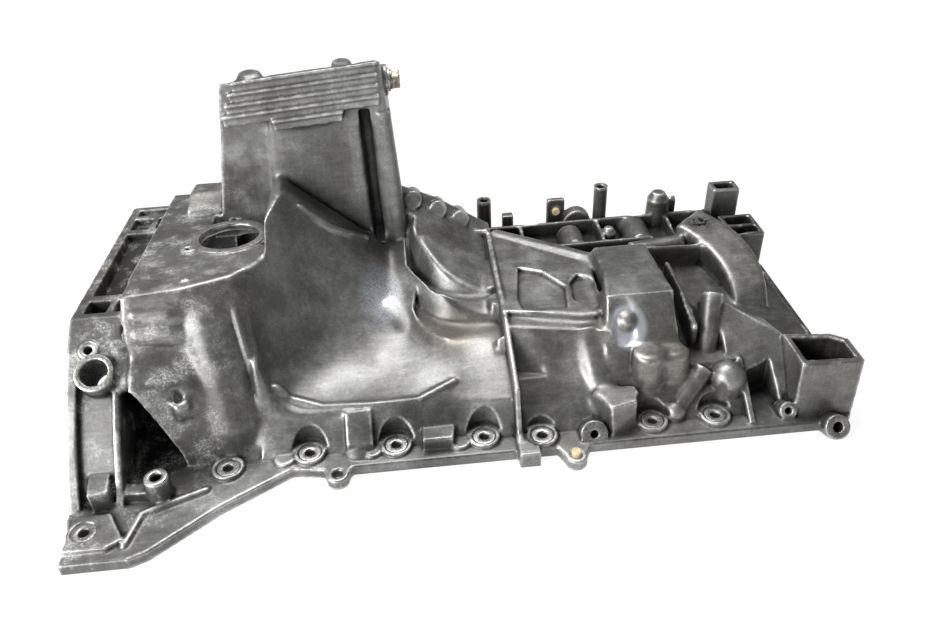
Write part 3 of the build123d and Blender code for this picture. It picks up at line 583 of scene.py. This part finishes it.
def buildWearAndLightGroup():  # bright crests, rubbed and painted as highlight, and dirt with painted shade in corners and hollows
    group = newGroup("wearDirtAndPaintedLight", {
        "Crest": 0.0, "Corner": 0.0, "Hidden": 0.0, "Cloud": 0.5, "Speckle": 0.5, "Blotch": 0.5,
    }, ("RubbedAndHighlight", "DirtAndShade"))
    start, end = addNode(group, "NodeGroupInput"), addNode(group, "NodeGroupOutput")
    # bright crests: rubbed wear and a painted highlight along them, broken by blotches and speckles
    patchy = addRange(group, start.outputs["Blotch"], *wearRanges["crestBlotch"])
    broken = addRange(group, start.outputs["Speckle"], *wearRanges["crestSpeckle"])
    crest = addRange(group, start.outputs["Crest"], *wearRanges["crest"])
    rubbedAndHighlight = addMath(group, "MULTIPLY", addMath(group, "MULTIPLY", crest, patchy), broken)
    # dirt and painted shade: darker where the sky is hidden and in corners, made patchy by the cloud
    deep = addRange(group, start.outputs["Hidden"], *wearRanges["hidden"])
    edge = addRange(group, start.outputs["Corner"], *wearRanges["corner"])
    cloudy = addRange(group, start.outputs["Cloud"], *wearRanges["dirtAndShadeCloud"])
    dirtAndShade = addMath(group, "MULTIPLY", addMath(group, "ADD", deep, edge, True), cloudy)
    group.links.new(rubbedAndHighlight, end.inputs["RubbedAndHighlight"])
    group.links.new(dirtAndShade, end.inputs["DirtAndShade"])
    return group


grainGroup = buildGrainGroup()
wearAndLightGroup = buildWearAndLightGroup()


# finishes
castFinish = {
    "grey": (0.165, 0.163, 0.158),
    "pale": (0.300, 0.300, 0.294),
    "warm": (0.235, 0.215, 0.185),
    # colour of rubbed crests, also their painted highlight
    "rubbedAndHighlight": (0.66, 0.66, 0.65),
    # colour of dirt, also of the painted shade in hollows, corners, listed places and inside
    "dirtAndShade": (0.016, 0.0155, 0.015),
    # chalk bloom; the same colour paints the highlight on the tower
    "chalk": (0.62, 0.62, 0.60),
    "bluish": (0.70, 0.735, 0.80),
    "metallic": 0.72,
    "roughness": (0.30, 0.48),
    "dirtRoughness": 0.3,
    "chalkRoughness": 0.3,
    "wornSmoothness": 0.1,
    "bump": 0.32,
    "bumpDepth": 0.0005,
}

castRanges = {  # value read: from, to, and what it becomes there where that isn't 0 and 1
    "pale": (0.38, 0.64),
    "brown": (0.52, 0.72, 0.0, 0.8),
    "streakTone": (0.44, 0.72, 0.9, 1.28),
    "speckleTone": (0.34, 0.66, 0.9, 1.1),
    "blotchTone": (0.36, 0.66, 0.82, 1.18),
    "frontEndPaintedShade": (0.12, 0.33, 1.0, 0.84),  # along X: painted shade, darker towards the front end
    "footTone": (0.010, 0.045, 0.8, 1.0),  # along Z
    "towerBlotch": (0.36, 0.62, 0.15, 0.5),
    "chalkEnd": (-0.175, -0.27, 0.12, 1.0),  # along X
    "chalkBlotch": (0.5, 0.62),
    "chalkSpeckle": (0.46, 0.62, 0.12, 0.85),
    "wornSpeckle": (0.36, 0.6, 0.25, 1.0),
    "smudgeNoise": (0.46, 0.54, 0.0, 1.6),
    "roughBlotch": (0.3, 0.7),
}

castPlaces = {  # centre, inner radius, outer radius, squeeze along X, Y and Z
    "wornPatch": ((-0.081, -0.006, 0.074), 0.006, 0.030, (1.3, 0.8, 0.8)),
    "brownShelf": ((-0.014, -0.051, 0.060), 0.018, 0.045, (1, 1, 2.5)),
    "knobHighlightOuter": ((0.137, -0.090, 0.073), 0.0145, 0.0185, (1, 1, 0.6)),
    "knobHighlightInner": ((0.137, -0.083, 0.075), 0.0105, 0.0125, (1, 1, 1)),
    "towerPaintedHighlight": ((-0.186, 0.060, 0.206), 0.008, 0.036, (1.2, 1, 0.6)),
    "smudge": ((0.261, 0.083, 0.072), 0.002, 0.018, (1, 1.25, 1)),
}

castShares = {"brownShelf": 0.9, "covered": 0.85, "knobHighlight": 0.78}

paintedShadePlaces = [  # as above, with the share of painted shade that darkens each place
    ((0.066, -0.088, 0.069), 0.012, 0.042, (1, 1, 1), 0.5),
    ((0.074, -0.048, 0.060), 0.010, 0.036, (0.9, 1, 2.4), 0.55),
    ((-0.026, -0.036, 0.066), 0.010, 0.036, (0.9, 1, 1), 0.5),
    ((-0.075, -0.138, 0.026), 0.008, 0.034, (0.3, 1, 1), 0.4),
    ((-0.183, -0.070, 0.115), 0.008, 0.042, (1.6, 0.7, 0.7), 0.4),
    ((0.190, -0.085, 0.045), 0.010, 0.040, (0.8, 1, 1), 0.45),
]

brownNoise = (8.0, 6.0, 0.66)  # scale in 1/m, detail, roughness
smudgeNoise = (230.0, 3.0, 0.6)


def newMaterial(name):
    material = bpy.data.materials.new(name)
    material.use_nodes = True
    tree = material.node_tree
    return material, tree, tree.nodes["Principled BSDF"]


def placeGroup(tree, group, vector=None):
    node = addNode(tree, "ShaderNodeGroup", node_tree=group)
    if vector is not None:
        tree.links.new(vector, node.inputs["Vector"])
    return node


def addBump(tree, surface, height, strength, distance):
    bump = addNode(tree, "ShaderNodeBump")
    bump.inputs["Strength"].default_value = strength
    bump.inputs["Distance"].default_value = distance
    tree.links.new(height, bump.inputs["Height"])
    tree.links.new(bump.outputs["Normal"], surface.inputs["Normal"])


def axisOf(tree, place, axis):
    node = addNode(tree, "ShaderNodeSeparateXYZ")
    tree.links.new(place, node.inputs[0])
    return node.outputs[axis]


def addTone(tree, colour, value, tone):  # darker or lighter, as a value goes through the tone's range
    return addMix(tree, 1.0, colour, addRange(tree, value, *tone), "MULTIPLY")


def readMark(tree, name):
    return addNode(tree, "ShaderNodeAttribute", attribute_name=name).outputs["Fac"]


def castMetal(tree, place, grain):  # clouded grey with brown stains, draw marks and speckles
    mottled = addRange(tree, grain.outputs["Cloud"], *castRanges["pale"])
    colour = addMix(tree, mottled, castFinish["grey"], castFinish["pale"])
    stains = addRange(tree, addNoise(tree, place, *brownNoise), *castRanges["brown"])
    shelf = nearPlace(tree, place, *castPlaces["brownShelf"])
    shelf = addMath(tree, "MULTIPLY", shelf, castShares["brownShelf"])
    colour = addMix(tree, addMath(tree, "MAXIMUM", stains, shelf), colour, castFinish["warm"])
    for name, tone in (("Streak", "streakTone"), ("Speckle", "speckleTone"), ("Blotch", "blotchTone")):
        colour = addTone(tree, colour, grain.outputs[name], castRanges[tone])
    return colour


def castDirtAndPaintedLight(tree, place, grain, wear, colour):  # dirt and painted shade in hollows, painted shade at listed places, towards the front end and inside the casting, a painted highlight on the tower, darker towards the bottom
    dirtAndShade = castFinish["dirtAndShade"]
    # dirt and painted shade in hollows and corners
    colour = addMix(tree, wear.outputs["DirtAndShade"], colour, dirtAndShade)
    # painted shade at the listed places
    for *where, share in paintedShadePlaces:
        colour = addMix(tree, addMath(tree, "MULTIPLY", nearPlace(tree, place, *where), share), colour, dirtAndShade)
    # painted shade towards the front end
    colour = addTone(tree, colour, axisOf(tree, place, "X"), castRanges["frontEndPaintedShade"])
    # painted highlight on the tower's left column, mottled like chalk
    pale = addMath(tree, "MULTIPLY", nearPlace(tree, place, *castPlaces["towerPaintedHighlight"]),
                   addRange(tree, grain.outputs["Blotch"], *castRanges["towerBlotch"]))
    colour = addMix(tree, pale, colour, castFinish["chalk"])
    # painted shade inside the casting, where it is covered on every side
    covered = addMath(tree, "MULTIPLY", readMark(tree, "covered"), castShares["covered"])
    colour = addMix(tree, covered, colour, dirtAndShade)
    return addTone(tree, colour, axisOf(tree, place, "Z"), castRanges["footTone"])


def chalkMask(tree, place, grain):  # pale bloom, thicker towards the bell end
    zone = addMath(tree, "MULTIPLY", addRange(tree, axisOf(tree, place, "X"), *castRanges["chalkEnd"]),
                   addRange(tree, grain.outputs["Blotch"], *castRanges["chalkBlotch"]))
    speckled = addRange(tree, grain.outputs["Speckle"], *castRanges["chalkSpeckle"])
    return addMath(tree, "MULTIPLY", zone, speckled)


def wornMask(tree, place, grain):  # one bare, bluish patch
    return addMath(tree, "MULTIPLY", nearPlace(tree, place, *castPlaces["wornPatch"]),
                   addRange(tree, grain.outputs["Speckle"], *castRanges["wornSpeckle"]))


def knobHighlightMask(tree, place):  # painted highlight: a bright arc round a boss
    knobHighlight = addMath(tree, "SUBTRACT", nearPlace(tree, place, *castPlaces["knobHighlightOuter"]),
                   nearPlace(tree, place, *castPlaces["knobHighlightInner"]), True)
    return addMath(tree, "MULTIPLY", knobHighlight, castShares["knobHighlight"])


def smudgeMask(tree, place):
    broken = addRange(tree, addNoise(tree, place, *smudgeNoise), *castRanges["smudgeNoise"])
    return addMath(tree, "MULTIPLY", nearPlace(tree, place, *castPlaces["smudge"]), broken, True)


def castRoughness(tree, grain, dirtAndShade, chalk, worn):
    rough = addRange(tree, grain.outputs["Blotch"], *castRanges["roughBlotch"], *castFinish["roughness"])
    for operation, mask, share in (("ADD", dirtAndShade, "dirtRoughness"), ("ADD", chalk, "chalkRoughness"),
                                   ("SUBTRACT", worn, "wornSmoothness")):
        rough = addMath(tree, operation, rough, addMath(tree, "MULTIPLY", mask, castFinish[share]), True)
    return rough


def buildCastMaterial():
    material, tree, surface = newMaterial("weatheredCasting")
    place = addNode(tree, "ShaderNodeTexCoord").outputs["Object"]
    grain = placeGroup(tree, grainGroup, place)
    wear = placeGroup(tree, wearAndLightGroup)
    for name, socket in (("crest", "Crest"), ("corner", "Corner"), ("hidden", "Hidden")):
        tree.links.new(readMark(tree, name), wear.inputs[socket])
    for name in ("Cloud", "Speckle", "Blotch"):
        tree.links.new(grain.outputs[name], wear.inputs[name])
    colour = castMetal(tree, place, grain)
    colour = castDirtAndPaintedLight(tree, place, grain, wear, colour)
    chalk = chalkMask(tree, place, grain)
    worn = wornMask(tree, place, grain)
    # chalk bloom, rubbed crests with painted highlight, a bluish patch, a painted highlight round the knob
    # and a smudge
    for mask, cover in ((chalk, "chalk"), (wear.outputs["RubbedAndHighlight"], "rubbedAndHighlight"), (worn, "bluish"),
                        (knobHighlightMask(tree, place), "bluish"), (smudgeMask(tree, place), "dirtAndShade")):
        colour = addMix(tree, mask, colour, castFinish[cover])
    tree.links.new(colour, surface.inputs["Base Color"])
    surface.inputs["Metallic"].default_value = castFinish["metallic"]
    tree.links.new(castRoughness(tree, grain, wear.outputs["DirtAndShade"], chalk, worn), surface.inputs["Roughness"])
    addBump(tree, surface, grain.outputs["Height"], castFinish["bump"], castFinish["bumpDepth"])
    return material


castMaterial = buildCastMaterial()
for piece in skinPieces:
    piece.data.materials.append(castMaterial)
    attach(piece, "root")
    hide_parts("pan_casting")
print("casting finished")


# machined rings round the bores
machinedFinish = {
    "colour": (0.34, 0.335, 0.32),
    "bright": (0.62, 0.61, 0.59),
    "brightBlotch": (0.4, 0.62),
    "speckleTone": (0.34, 0.66, 0.7, 1.15),
    "metallic": 0.9,
    "roughSpeckle": (0.3, 0.7),
    "roughness": (0.25, 0.42),
    "bump": 0.3,
    "bumpDepth": 0.0002,
}

ringSets = {
    "boltSeatRings": {
        "inner": 0.0046, "outer": 0.0103, "height": 0.0005,
        "places": [((x, y, seatBand["ringTop"]), (0, 0, 1)) for x, y in machinedSeats],
    },
    "sensorRing": {
        "inner": 0.0272, "outer": 0.0345, "height": 0.0006,
        "places": [((-0.212, 0.0092, 0.14205), (0, 0.0854, 0.9963))],
    },
    "timingRing": {
        "inner": 0.0117, "outer": 0.0158, "height": 0.0006,
        "places": [((-0.313, -0.11967, 0.09771), (0, -0.5478, 0.8366))],
    },
    "leanBossRings": {
        "inner": 0.0040, "outer": 0.0112, "height": 0.0005,
        "places": [((0.095, -0.160, 0.015), (0, -0.8486, 0.5291))],
    },
    "cornerBossRing": {
        "inner": 0.0050, "outer": 0.0105, "height": 0.0005,
        "places": [((0.303, -0.176, 0.012), (0, -0.8486, 0.5291))],
    },
    "postRims": {
        "inner": 0.0051, "outer": 0.0076, "height": 0.0005,
        "places": [((0.036, 0.147, 0.085), (0, 0, 1)), ((0.167, 0.147, 0.091), (0, 0, 1))],
    },
    "footPostRim": {
        "inner": 0.0052, "outer": 0.0092, "height": 0.0005,
        "places": [((-0.268, -0.178, 0.032), (0, 0, 1))],
    },
}

ringShape = {"turns": 56, "easedSteps": 2, "eased": 0.35}  # eased edge over the ring's height


def buildRingTree(material):  # a ring with eased edges at each place, square to its axis
    tree = bpy.data.node_groups.new("machinedRings", "GeometryNodeTree")
    tree.interface.new_socket("Geometry", in_out="INPUT", socket_type="NodeSocketGeometry")
    for label in ("Inner radius", "Outer radius", "Height"):
        tree.interface.new_socket(label, in_out="INPUT", socket_type="NodeSocketFloat")
    tree.interface.new_socket("Geometry", in_out="OUTPUT", socket_type="NodeSocketGeometry")
    start, end = addNode(tree, "NodeGroupInput"), addNode(tree, "NodeGroupOutput")
    middle = addMath(tree, "MULTIPLY", addMath(tree, "ADD", start.outputs["Inner radius"],
                                               start.outputs["Outer radius"]), 0.5)
    width = addMath(tree, "SUBTRACT", start.outputs["Outer radius"], start.outputs["Inner radius"])
    circle = addNode(tree, "GeometryNodeCurvePrimitiveCircle")
    circle.inputs["Resolution"].default_value = ringShape["turns"]
    tree.links.new(middle, circle.inputs["Radius"])
    profile = addNode(tree, "GeometryNodeCurvePrimitiveQuadrilateral")
    tree.links.new(width, profile.inputs["Width"])
    tree.links.new(start.outputs["Height"], profile.inputs["Height"])
    eased = addNode(tree, "GeometryNodeFilletCurve", mode="POLY")
    eased.inputs["Count"].default_value = ringShape["easedSteps"]
    tree.links.new(profile.outputs["Curve"], eased.inputs["Curve"])
    easing = addMath(tree, "MULTIPLY", start.outputs["Height"], ringShape["eased"])
    tree.links.new(easing, eased.inputs["Radius"])
    sweep = addNode(tree, "GeometryNodeCurveToMesh")
    tree.links.new(circle.outputs["Curve"], sweep.inputs["Curve"])
    tree.links.new(eased.outputs["Curve"], sweep.inputs["Profile Curve"])
    axis = addNode(tree, "GeometryNodeInputNamedAttribute", data_type="FLOAT_VECTOR")
    axis.inputs["Name"].default_value = "axis"
    turn = addNode(tree, "FunctionNodeAlignRotationToVector", axis="Z")
    tree.links.new(axis.outputs["Attribute"], turn.inputs["Vector"])
    spread = addNode(tree, "GeometryNodeInstanceOnPoints")
    tree.links.new(start.outputs["Geometry"], spread.inputs["Points"])
    tree.links.new(sweep.outputs["Mesh"], spread.inputs["Instance"])
    tree.links.new(turn.outputs["Rotation"], spread.inputs["Rotation"])
    realize = addNode(tree, "GeometryNodeRealizeInstances")
    tree.links.new(spread.outputs["Instances"], realize.inputs["Geometry"])
    paint = addNode(tree, "GeometryNodeSetMaterial")
    paint.inputs["Material"].default_value = material
    tree.links.new(realize.outputs["Geometry"], paint.inputs["Geometry"])
    tree.links.new(paint.outputs["Geometry"], end.inputs["Geometry"])
    return tree


def buildMachinedMaterial():
    material, tree, surface = newMaterial("turnedFace")
    place = addNode(tree, "ShaderNodeTexCoord").outputs["Object"]
    grain = placeGroup(tree, grainGroup, place)
    worn = addRange(tree, grain.outputs["Blotch"], *machinedFinish["brightBlotch"])
    colour = addMix(tree, worn, machinedFinish["colour"], machinedFinish["bright"])
    colour = addTone(tree, colour, grain.outputs["Speckle"], machinedFinish["speckleTone"])
    tree.links.new(colour, surface.inputs["Base Color"])
    surface.inputs["Metallic"].default_value = machinedFinish["metallic"]
    rough = addRange(tree, grain.outputs["Speckle"], *machinedFinish["roughSpeckle"],
                     *machinedFinish["roughness"])
    tree.links.new(rough, surface.inputs["Roughness"])
    addBump(tree, surface, grain.outputs["Speckle"], machinedFinish["bump"], machinedFinish["bumpDepth"])
    return material


def buildRings(name, rings, tree):
    mesh = bpy.data.meshes.new(name + "Places")
    mesh.from_pydata([place for place, axis in rings["places"]], [], [])
    layer = mesh.attributes.new("axis", "FLOAT_VECTOR", "POINT")
    layer.data.foreach_set("vector", [value for place, axis in rings["places"] for value in axis])
    seed = addToScene(name + "Places", mesh)
    modifier = seed.modifiers.new("rings", "NODES")
    modifier.node_group = tree
    sockets = {item.name: item.identifier for item in tree.interface.items_tree if item.in_out == "INPUT"}
    for label, key in (("Inner radius", "inner"), ("Outer radius", "outer"), ("Height", "height")):
        modifier[sockets[label]] = rings[key]
    piece = bakeObject(seed, name)
    dropObject(seed)
    piece.data.shade_smooth()
    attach(piece, "root")
    print(name, len(piece.data.polygons))


ringTree = buildRingTree(buildMachinedMaterial())
for ringName, ringSet in ringSets.items():
    buildRings(ringName, ringSet, ringTree)


# drain plug with its chamfered hex, on the axis of the CAD plug
plugShape = {
    "sides": 48,
    "shankRadius": 0.007,
    "tipShare": 0.86,
    "tipLength": 0.001,
    "collarRadius": 0.0089,
    "collarFootRadius": 0.0086,
    "collarHeight": 0.002,
    "collarEase": 0.0004,
    "hexCap": 1.13,  # shares of the hex's half width over its flats
    "chamferCap": 1.03,
    "crownShare": 0.9,
    "dishShare": 0.55,
    "chamferStart": 0.0014,  # depths below the head's top
    "chamferEnd": 0.0006,
    "dishDepth": 0.0008,
}


def ringLoop(work, x, centre, radii):
    count = len(radii)
    loop = []
    for index, radius in enumerate(radii):
        turn = 2 * math.pi * index / count
        y, z = centre[0] + radius * math.cos(turn), centre[1] + radius * math.sin(turn)
        loop.append(work.verts.new((x, y, z)))
    return loop


def joinLoops(work, first, second):
    for index in range(len(first)):
        after = (index + 1) % len(first)
        work.faces.new((first[index], first[after], second[after], second[index]))


def roundRadii(radius):
    return [radius] * plugShape["sides"]


def hexRadii(flat, cap):  # hexagon with its corners cut back to a cone
    radii = []
    for index in range(plugShape["sides"]):
        turn = (2 * math.pi * index / plugShape["sides"] + math.pi / 6) % (math.pi / 3) - math.pi / 6
        radii.append(min(flat / math.cos(turn), flat * cap))
    return radii


def plugSteps():  # x and radii of each loop, from the shank's tip to the dish in the head
    low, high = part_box("drain_plug")
    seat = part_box("drain_plug_washer")[1].x
    flat = (high.y - low.y) / 2 * math.cos(math.pi / 6)
    shank, collar, ease = plugShape["shankRadius"], plugShape["collarRadius"], plugShape["collarEase"]
    collarTop = seat + plugShape["collarHeight"]
    return [
        (low.x, roundRadii(shank * plugShape["tipShare"])),
        (low.x + plugShape["tipLength"], roundRadii(shank)),
        (seat, roundRadii(shank)),
        (seat, roundRadii(plugShape["collarFootRadius"])),
        (seat + ease, roundRadii(collar)),
        (collarTop - ease, roundRadii(collar)),
        (collarTop, roundRadii(collar - ease)),
        (collarTop, hexRadii(flat, plugShape["hexCap"])),
        (high.x - plugShape["chamferStart"], hexRadii(flat, plugShape["hexCap"])),
        (high.x - plugShape["chamferEnd"], hexRadii(flat, plugShape["chamferCap"])),
        (high.x, roundRadii(flat * plugShape["crownShare"])),
        (high.x - plugShape["dishDepth"], roundRadii(flat * plugShape["dishShare"])),
    ]


def buildPlug():
    low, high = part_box("drain_plug")
    axis = ((low.y + high.y) / 2, (low.z + high.z) / 2)
    work = bmesh.new()
    loops = [ringLoop(work, x, axis, radii) for x, radii in plugSteps()]
    for first, second in zip(loops, loops[1:]):
        joinLoops(work, first, second)
    work.faces.new(loops[0])
    work.faces.new(loops[-1])
    bmesh.ops.recalc_face_normals(work, faces=work.faces)
    mesh = bpy.data.meshes.new("chamferedPlug")
    work.to_mesh(mesh)
    work.free()
    plug = addToScene("chamferedPlug", mesh)
    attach(plug, "root")
    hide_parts("drain_plug")
    return plug


smallFinishes = {
    "tarnishedPlug": {"dark": (0.20, 0.165, 0.115), "light": (0.45, 0.42, 0.36), "metallic": 0.85,
                      "roughness": (0.5, 0.34), "patches": 260},
    "softWasher": {"dark": (0.5, 0.48, 0.44), "light": (0.66, 0.64, 0.58), "metallic": 0.7,
                   "roughness": (0.5, 0.4), "patches": 300},
    "creamPeg": {"dark": (0.62, 0.47, 0.27), "light": (0.80, 0.66, 0.44), "metallic": 0.0,
                 "roughness": (0.62, 0.5), "patches": 240},
}

smallPatches = {
    "detail": 5.0,
    "roughness": 0.65,
    "light": (0.38, 0.64),
    "speckleTone": (0.34, 0.66, 0.85, 1.12),
    "bump": 0.25,
    "bumpDepth": 0.0003,
}


def buildSmallMaterial(name):
    finish = smallFinishes[name]
    material, tree, surface = newMaterial(name)
    place = addNode(tree, "ShaderNodeTexCoord").outputs["Object"]
    grain = placeGroup(tree, grainGroup, place)
    noise = addNoise(tree, place, finish["patches"], smallPatches["detail"], smallPatches["roughness"])
    patches = addRange(tree, noise, *smallPatches["light"])
    colour = addMix(tree, patches, finish["dark"], finish["light"])
    colour = addTone(tree, colour, grain.outputs["Speckle"], smallPatches["speckleTone"])
    tree.links.new(colour, surface.inputs["Base Color"])
    surface.inputs["Metallic"].default_value = finish["metallic"]
    tree.links.new(addRange(tree, patches, 0, 1, *finish["roughness"]), surface.inputs["Roughness"])
    addBump(tree, surface, grain.outputs["Height"], smallPatches["bump"], smallPatches["bumpDepth"])
    return material


buildPlug().data.materials.append(buildSmallMaterial("tarnishedPlug"))
washerMaterial = buildSmallMaterial("softWasher")
pegMaterial = buildSmallMaterial("creamPeg")
for nodeName, nodeMaterial in (("drain_plug_washer", washerMaterial), ("front_lug_peg", pegMaterial),
                               ("rear_tab_peg", pegMaterial)):
    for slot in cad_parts[nodeName].material_slots:
        slot.material = nodeMaterial
print("plug, washer and pegs finished")


# stage
photoView = {
    "place": (-0.0459, -0.6591, 0.5121),
    "pitch": 35.88,
    "yaw": 3.705,
    "roll": 2.77,
    "focalPixels": 820,
    "widthPixels": 925,
    "sensor": 36,
    "clipStart": 0.01,
}


def placeCamera():
    pitch, yaw, roll = (math.radians(photoView[key]) for key in ("pitch", "yaw", "roll"))
    forward = Vector((math.sin(yaw) * math.cos(pitch), math.cos(yaw) * math.cos(pitch), -math.sin(pitch)))
    right = Vector((math.cos(yaw), -math.sin(yaw), 0))
    down = forward.cross(right)
    turnedRight = right * math.cos(roll) + down * math.sin(roll)
    turnedDown = down * math.cos(roll) - right * math.sin(roll)
    lens = bpy.data.cameras.new("photoCamera")
    lens.sensor_width = photoView["sensor"]
    lens.lens = photoView["sensor"] * photoView["focalPixels"] / photoView["widthPixels"]
    lens.clip_start = photoView["clipStart"]
    camera = addToScene("photoCamera", lens)
    turn = Matrix((turnedRight, -turnedDown, -forward)).transposed()
    camera.matrix_world = Matrix.Translation(photoView["place"]) @ turn.to_4x4()
    bpy.context.scene.camera = camera


softboxes = {
    "leftSoftbox": {"place": (-1.35, -0.8, 0.9), "target": (0, 0, 0.08), "size": (0.9, 0.8), "power": 30},
    "topSoftbox": {"place": (-0.1, 0.5, 1.5), "target": (0, 0, 0.1), "size": (1.2, 0.6), "power": 20},
    "frontSoftbox": {"place": (-0.95, -1.6, 0.55), "target": (-0.1, 0, 0.14), "size": (0.7, 0.4), "power": 7},
}


def addSoftbox(name, box):
    lamp = bpy.data.lights.new(name, "AREA")
    lamp.shape = "RECTANGLE"
    lamp.size, lamp.size_y = box["size"]
    lamp.energy = box["power"]
    aim = Vector(box["target"]) - Vector(box["place"])
    turn = aim.to_track_quat("-Z", "Y").to_matrix()
    piece = addToScene(name, lamp)
    piece.matrix_world = Matrix.Translation(box["place"]) @ turn.to_4x4()


paleFloor = {
    "reach": 6,
    "drop": 0.0004,
    "colour": (0.9, 0.9, 0.9, 1),
    "roughness": 0.9,
    "glow": 1.12,
    "glowShare": (0.6, 1.4, 0.8, 1.0),  # from, to, share there: whiter away from the part
}


def floorMaterial():
    material, tree, surface = newMaterial("paleFloor")
    surface.inputs["Base Color"].default_value = paleFloor["colour"]
    surface.inputs["Roughness"].default_value = paleFloor["roughness"]
    surface.inputs["Specular IOR Level"].default_value = 0.0
    path = addNode(tree, "ShaderNodeLightPath")
    seen = addMath(tree, "MAXIMUM", path.outputs["Is Camera Ray"], path.outputs["Is Glossy Ray"])
    glow = addNode(tree, "ShaderNodeEmission")
    glow.inputs["Strength"].default_value = paleFloor["glow"]
    away = addNode(tree, "ShaderNodeVectorMath", operation="LENGTH")
    tree.links.new(addNode(tree, "ShaderNodeTexCoord").outputs["Object"], away.inputs[0])
    share = addRange(tree, away.outputs["Value"], *paleFloor["glowShare"])
    blend = addNode(tree, "ShaderNodeMixShader")
    tree.links.new(addMath(tree, "MULTIPLY", seen, share), blend.inputs[0])
    tree.links.new(surface.outputs[0], blend.inputs[1])
    tree.links.new(glow.outputs[0], blend.inputs[2])
    tree.links.new(blend.outputs[0], tree.nodes["Material Output"].inputs["Surface"])
    return material


def buildFloor():
    work = bmesh.new()
    bmesh.ops.create_grid(work, x_segments=1, y_segments=1, size=paleFloor["reach"])
    mesh = bpy.data.meshes.new("paleFloor")
    work.to_mesh(mesh)
    work.free()
    mesh.materials.append(floorMaterial())
    floor = addToScene("paleFloor", mesh)
    floor.location.z = -paleFloor["drop"]


studioWorld = {"light": 0.2, "seen": 1.0}


def buildWorld():  # plain light, and white to the camera
    world = bpy.data.worlds.new("studio")
    world.use_nodes = True
    tree = world.node_tree
    back = tree.nodes["Background"]
    back.inputs["Color"].default_value = (1, 1, 1, 1)
    path = addNode(tree, "ShaderNodeLightPath")
    strength = addRange(tree, path.outputs["Is Camera Ray"], 0, 1, studioWorld["light"], studioWorld["seen"])
    tree.links.new(strength, back.inputs["Strength"])
    bpy.context.scene.world = world


placeCamera()
buildFloor()
buildWorld()
for boxName, softbox in softboxes.items():
    addSoftbox(boxName, softbox)
bpy.context.scene.view_settings.view_transform = "Standard"
print("stage ready")
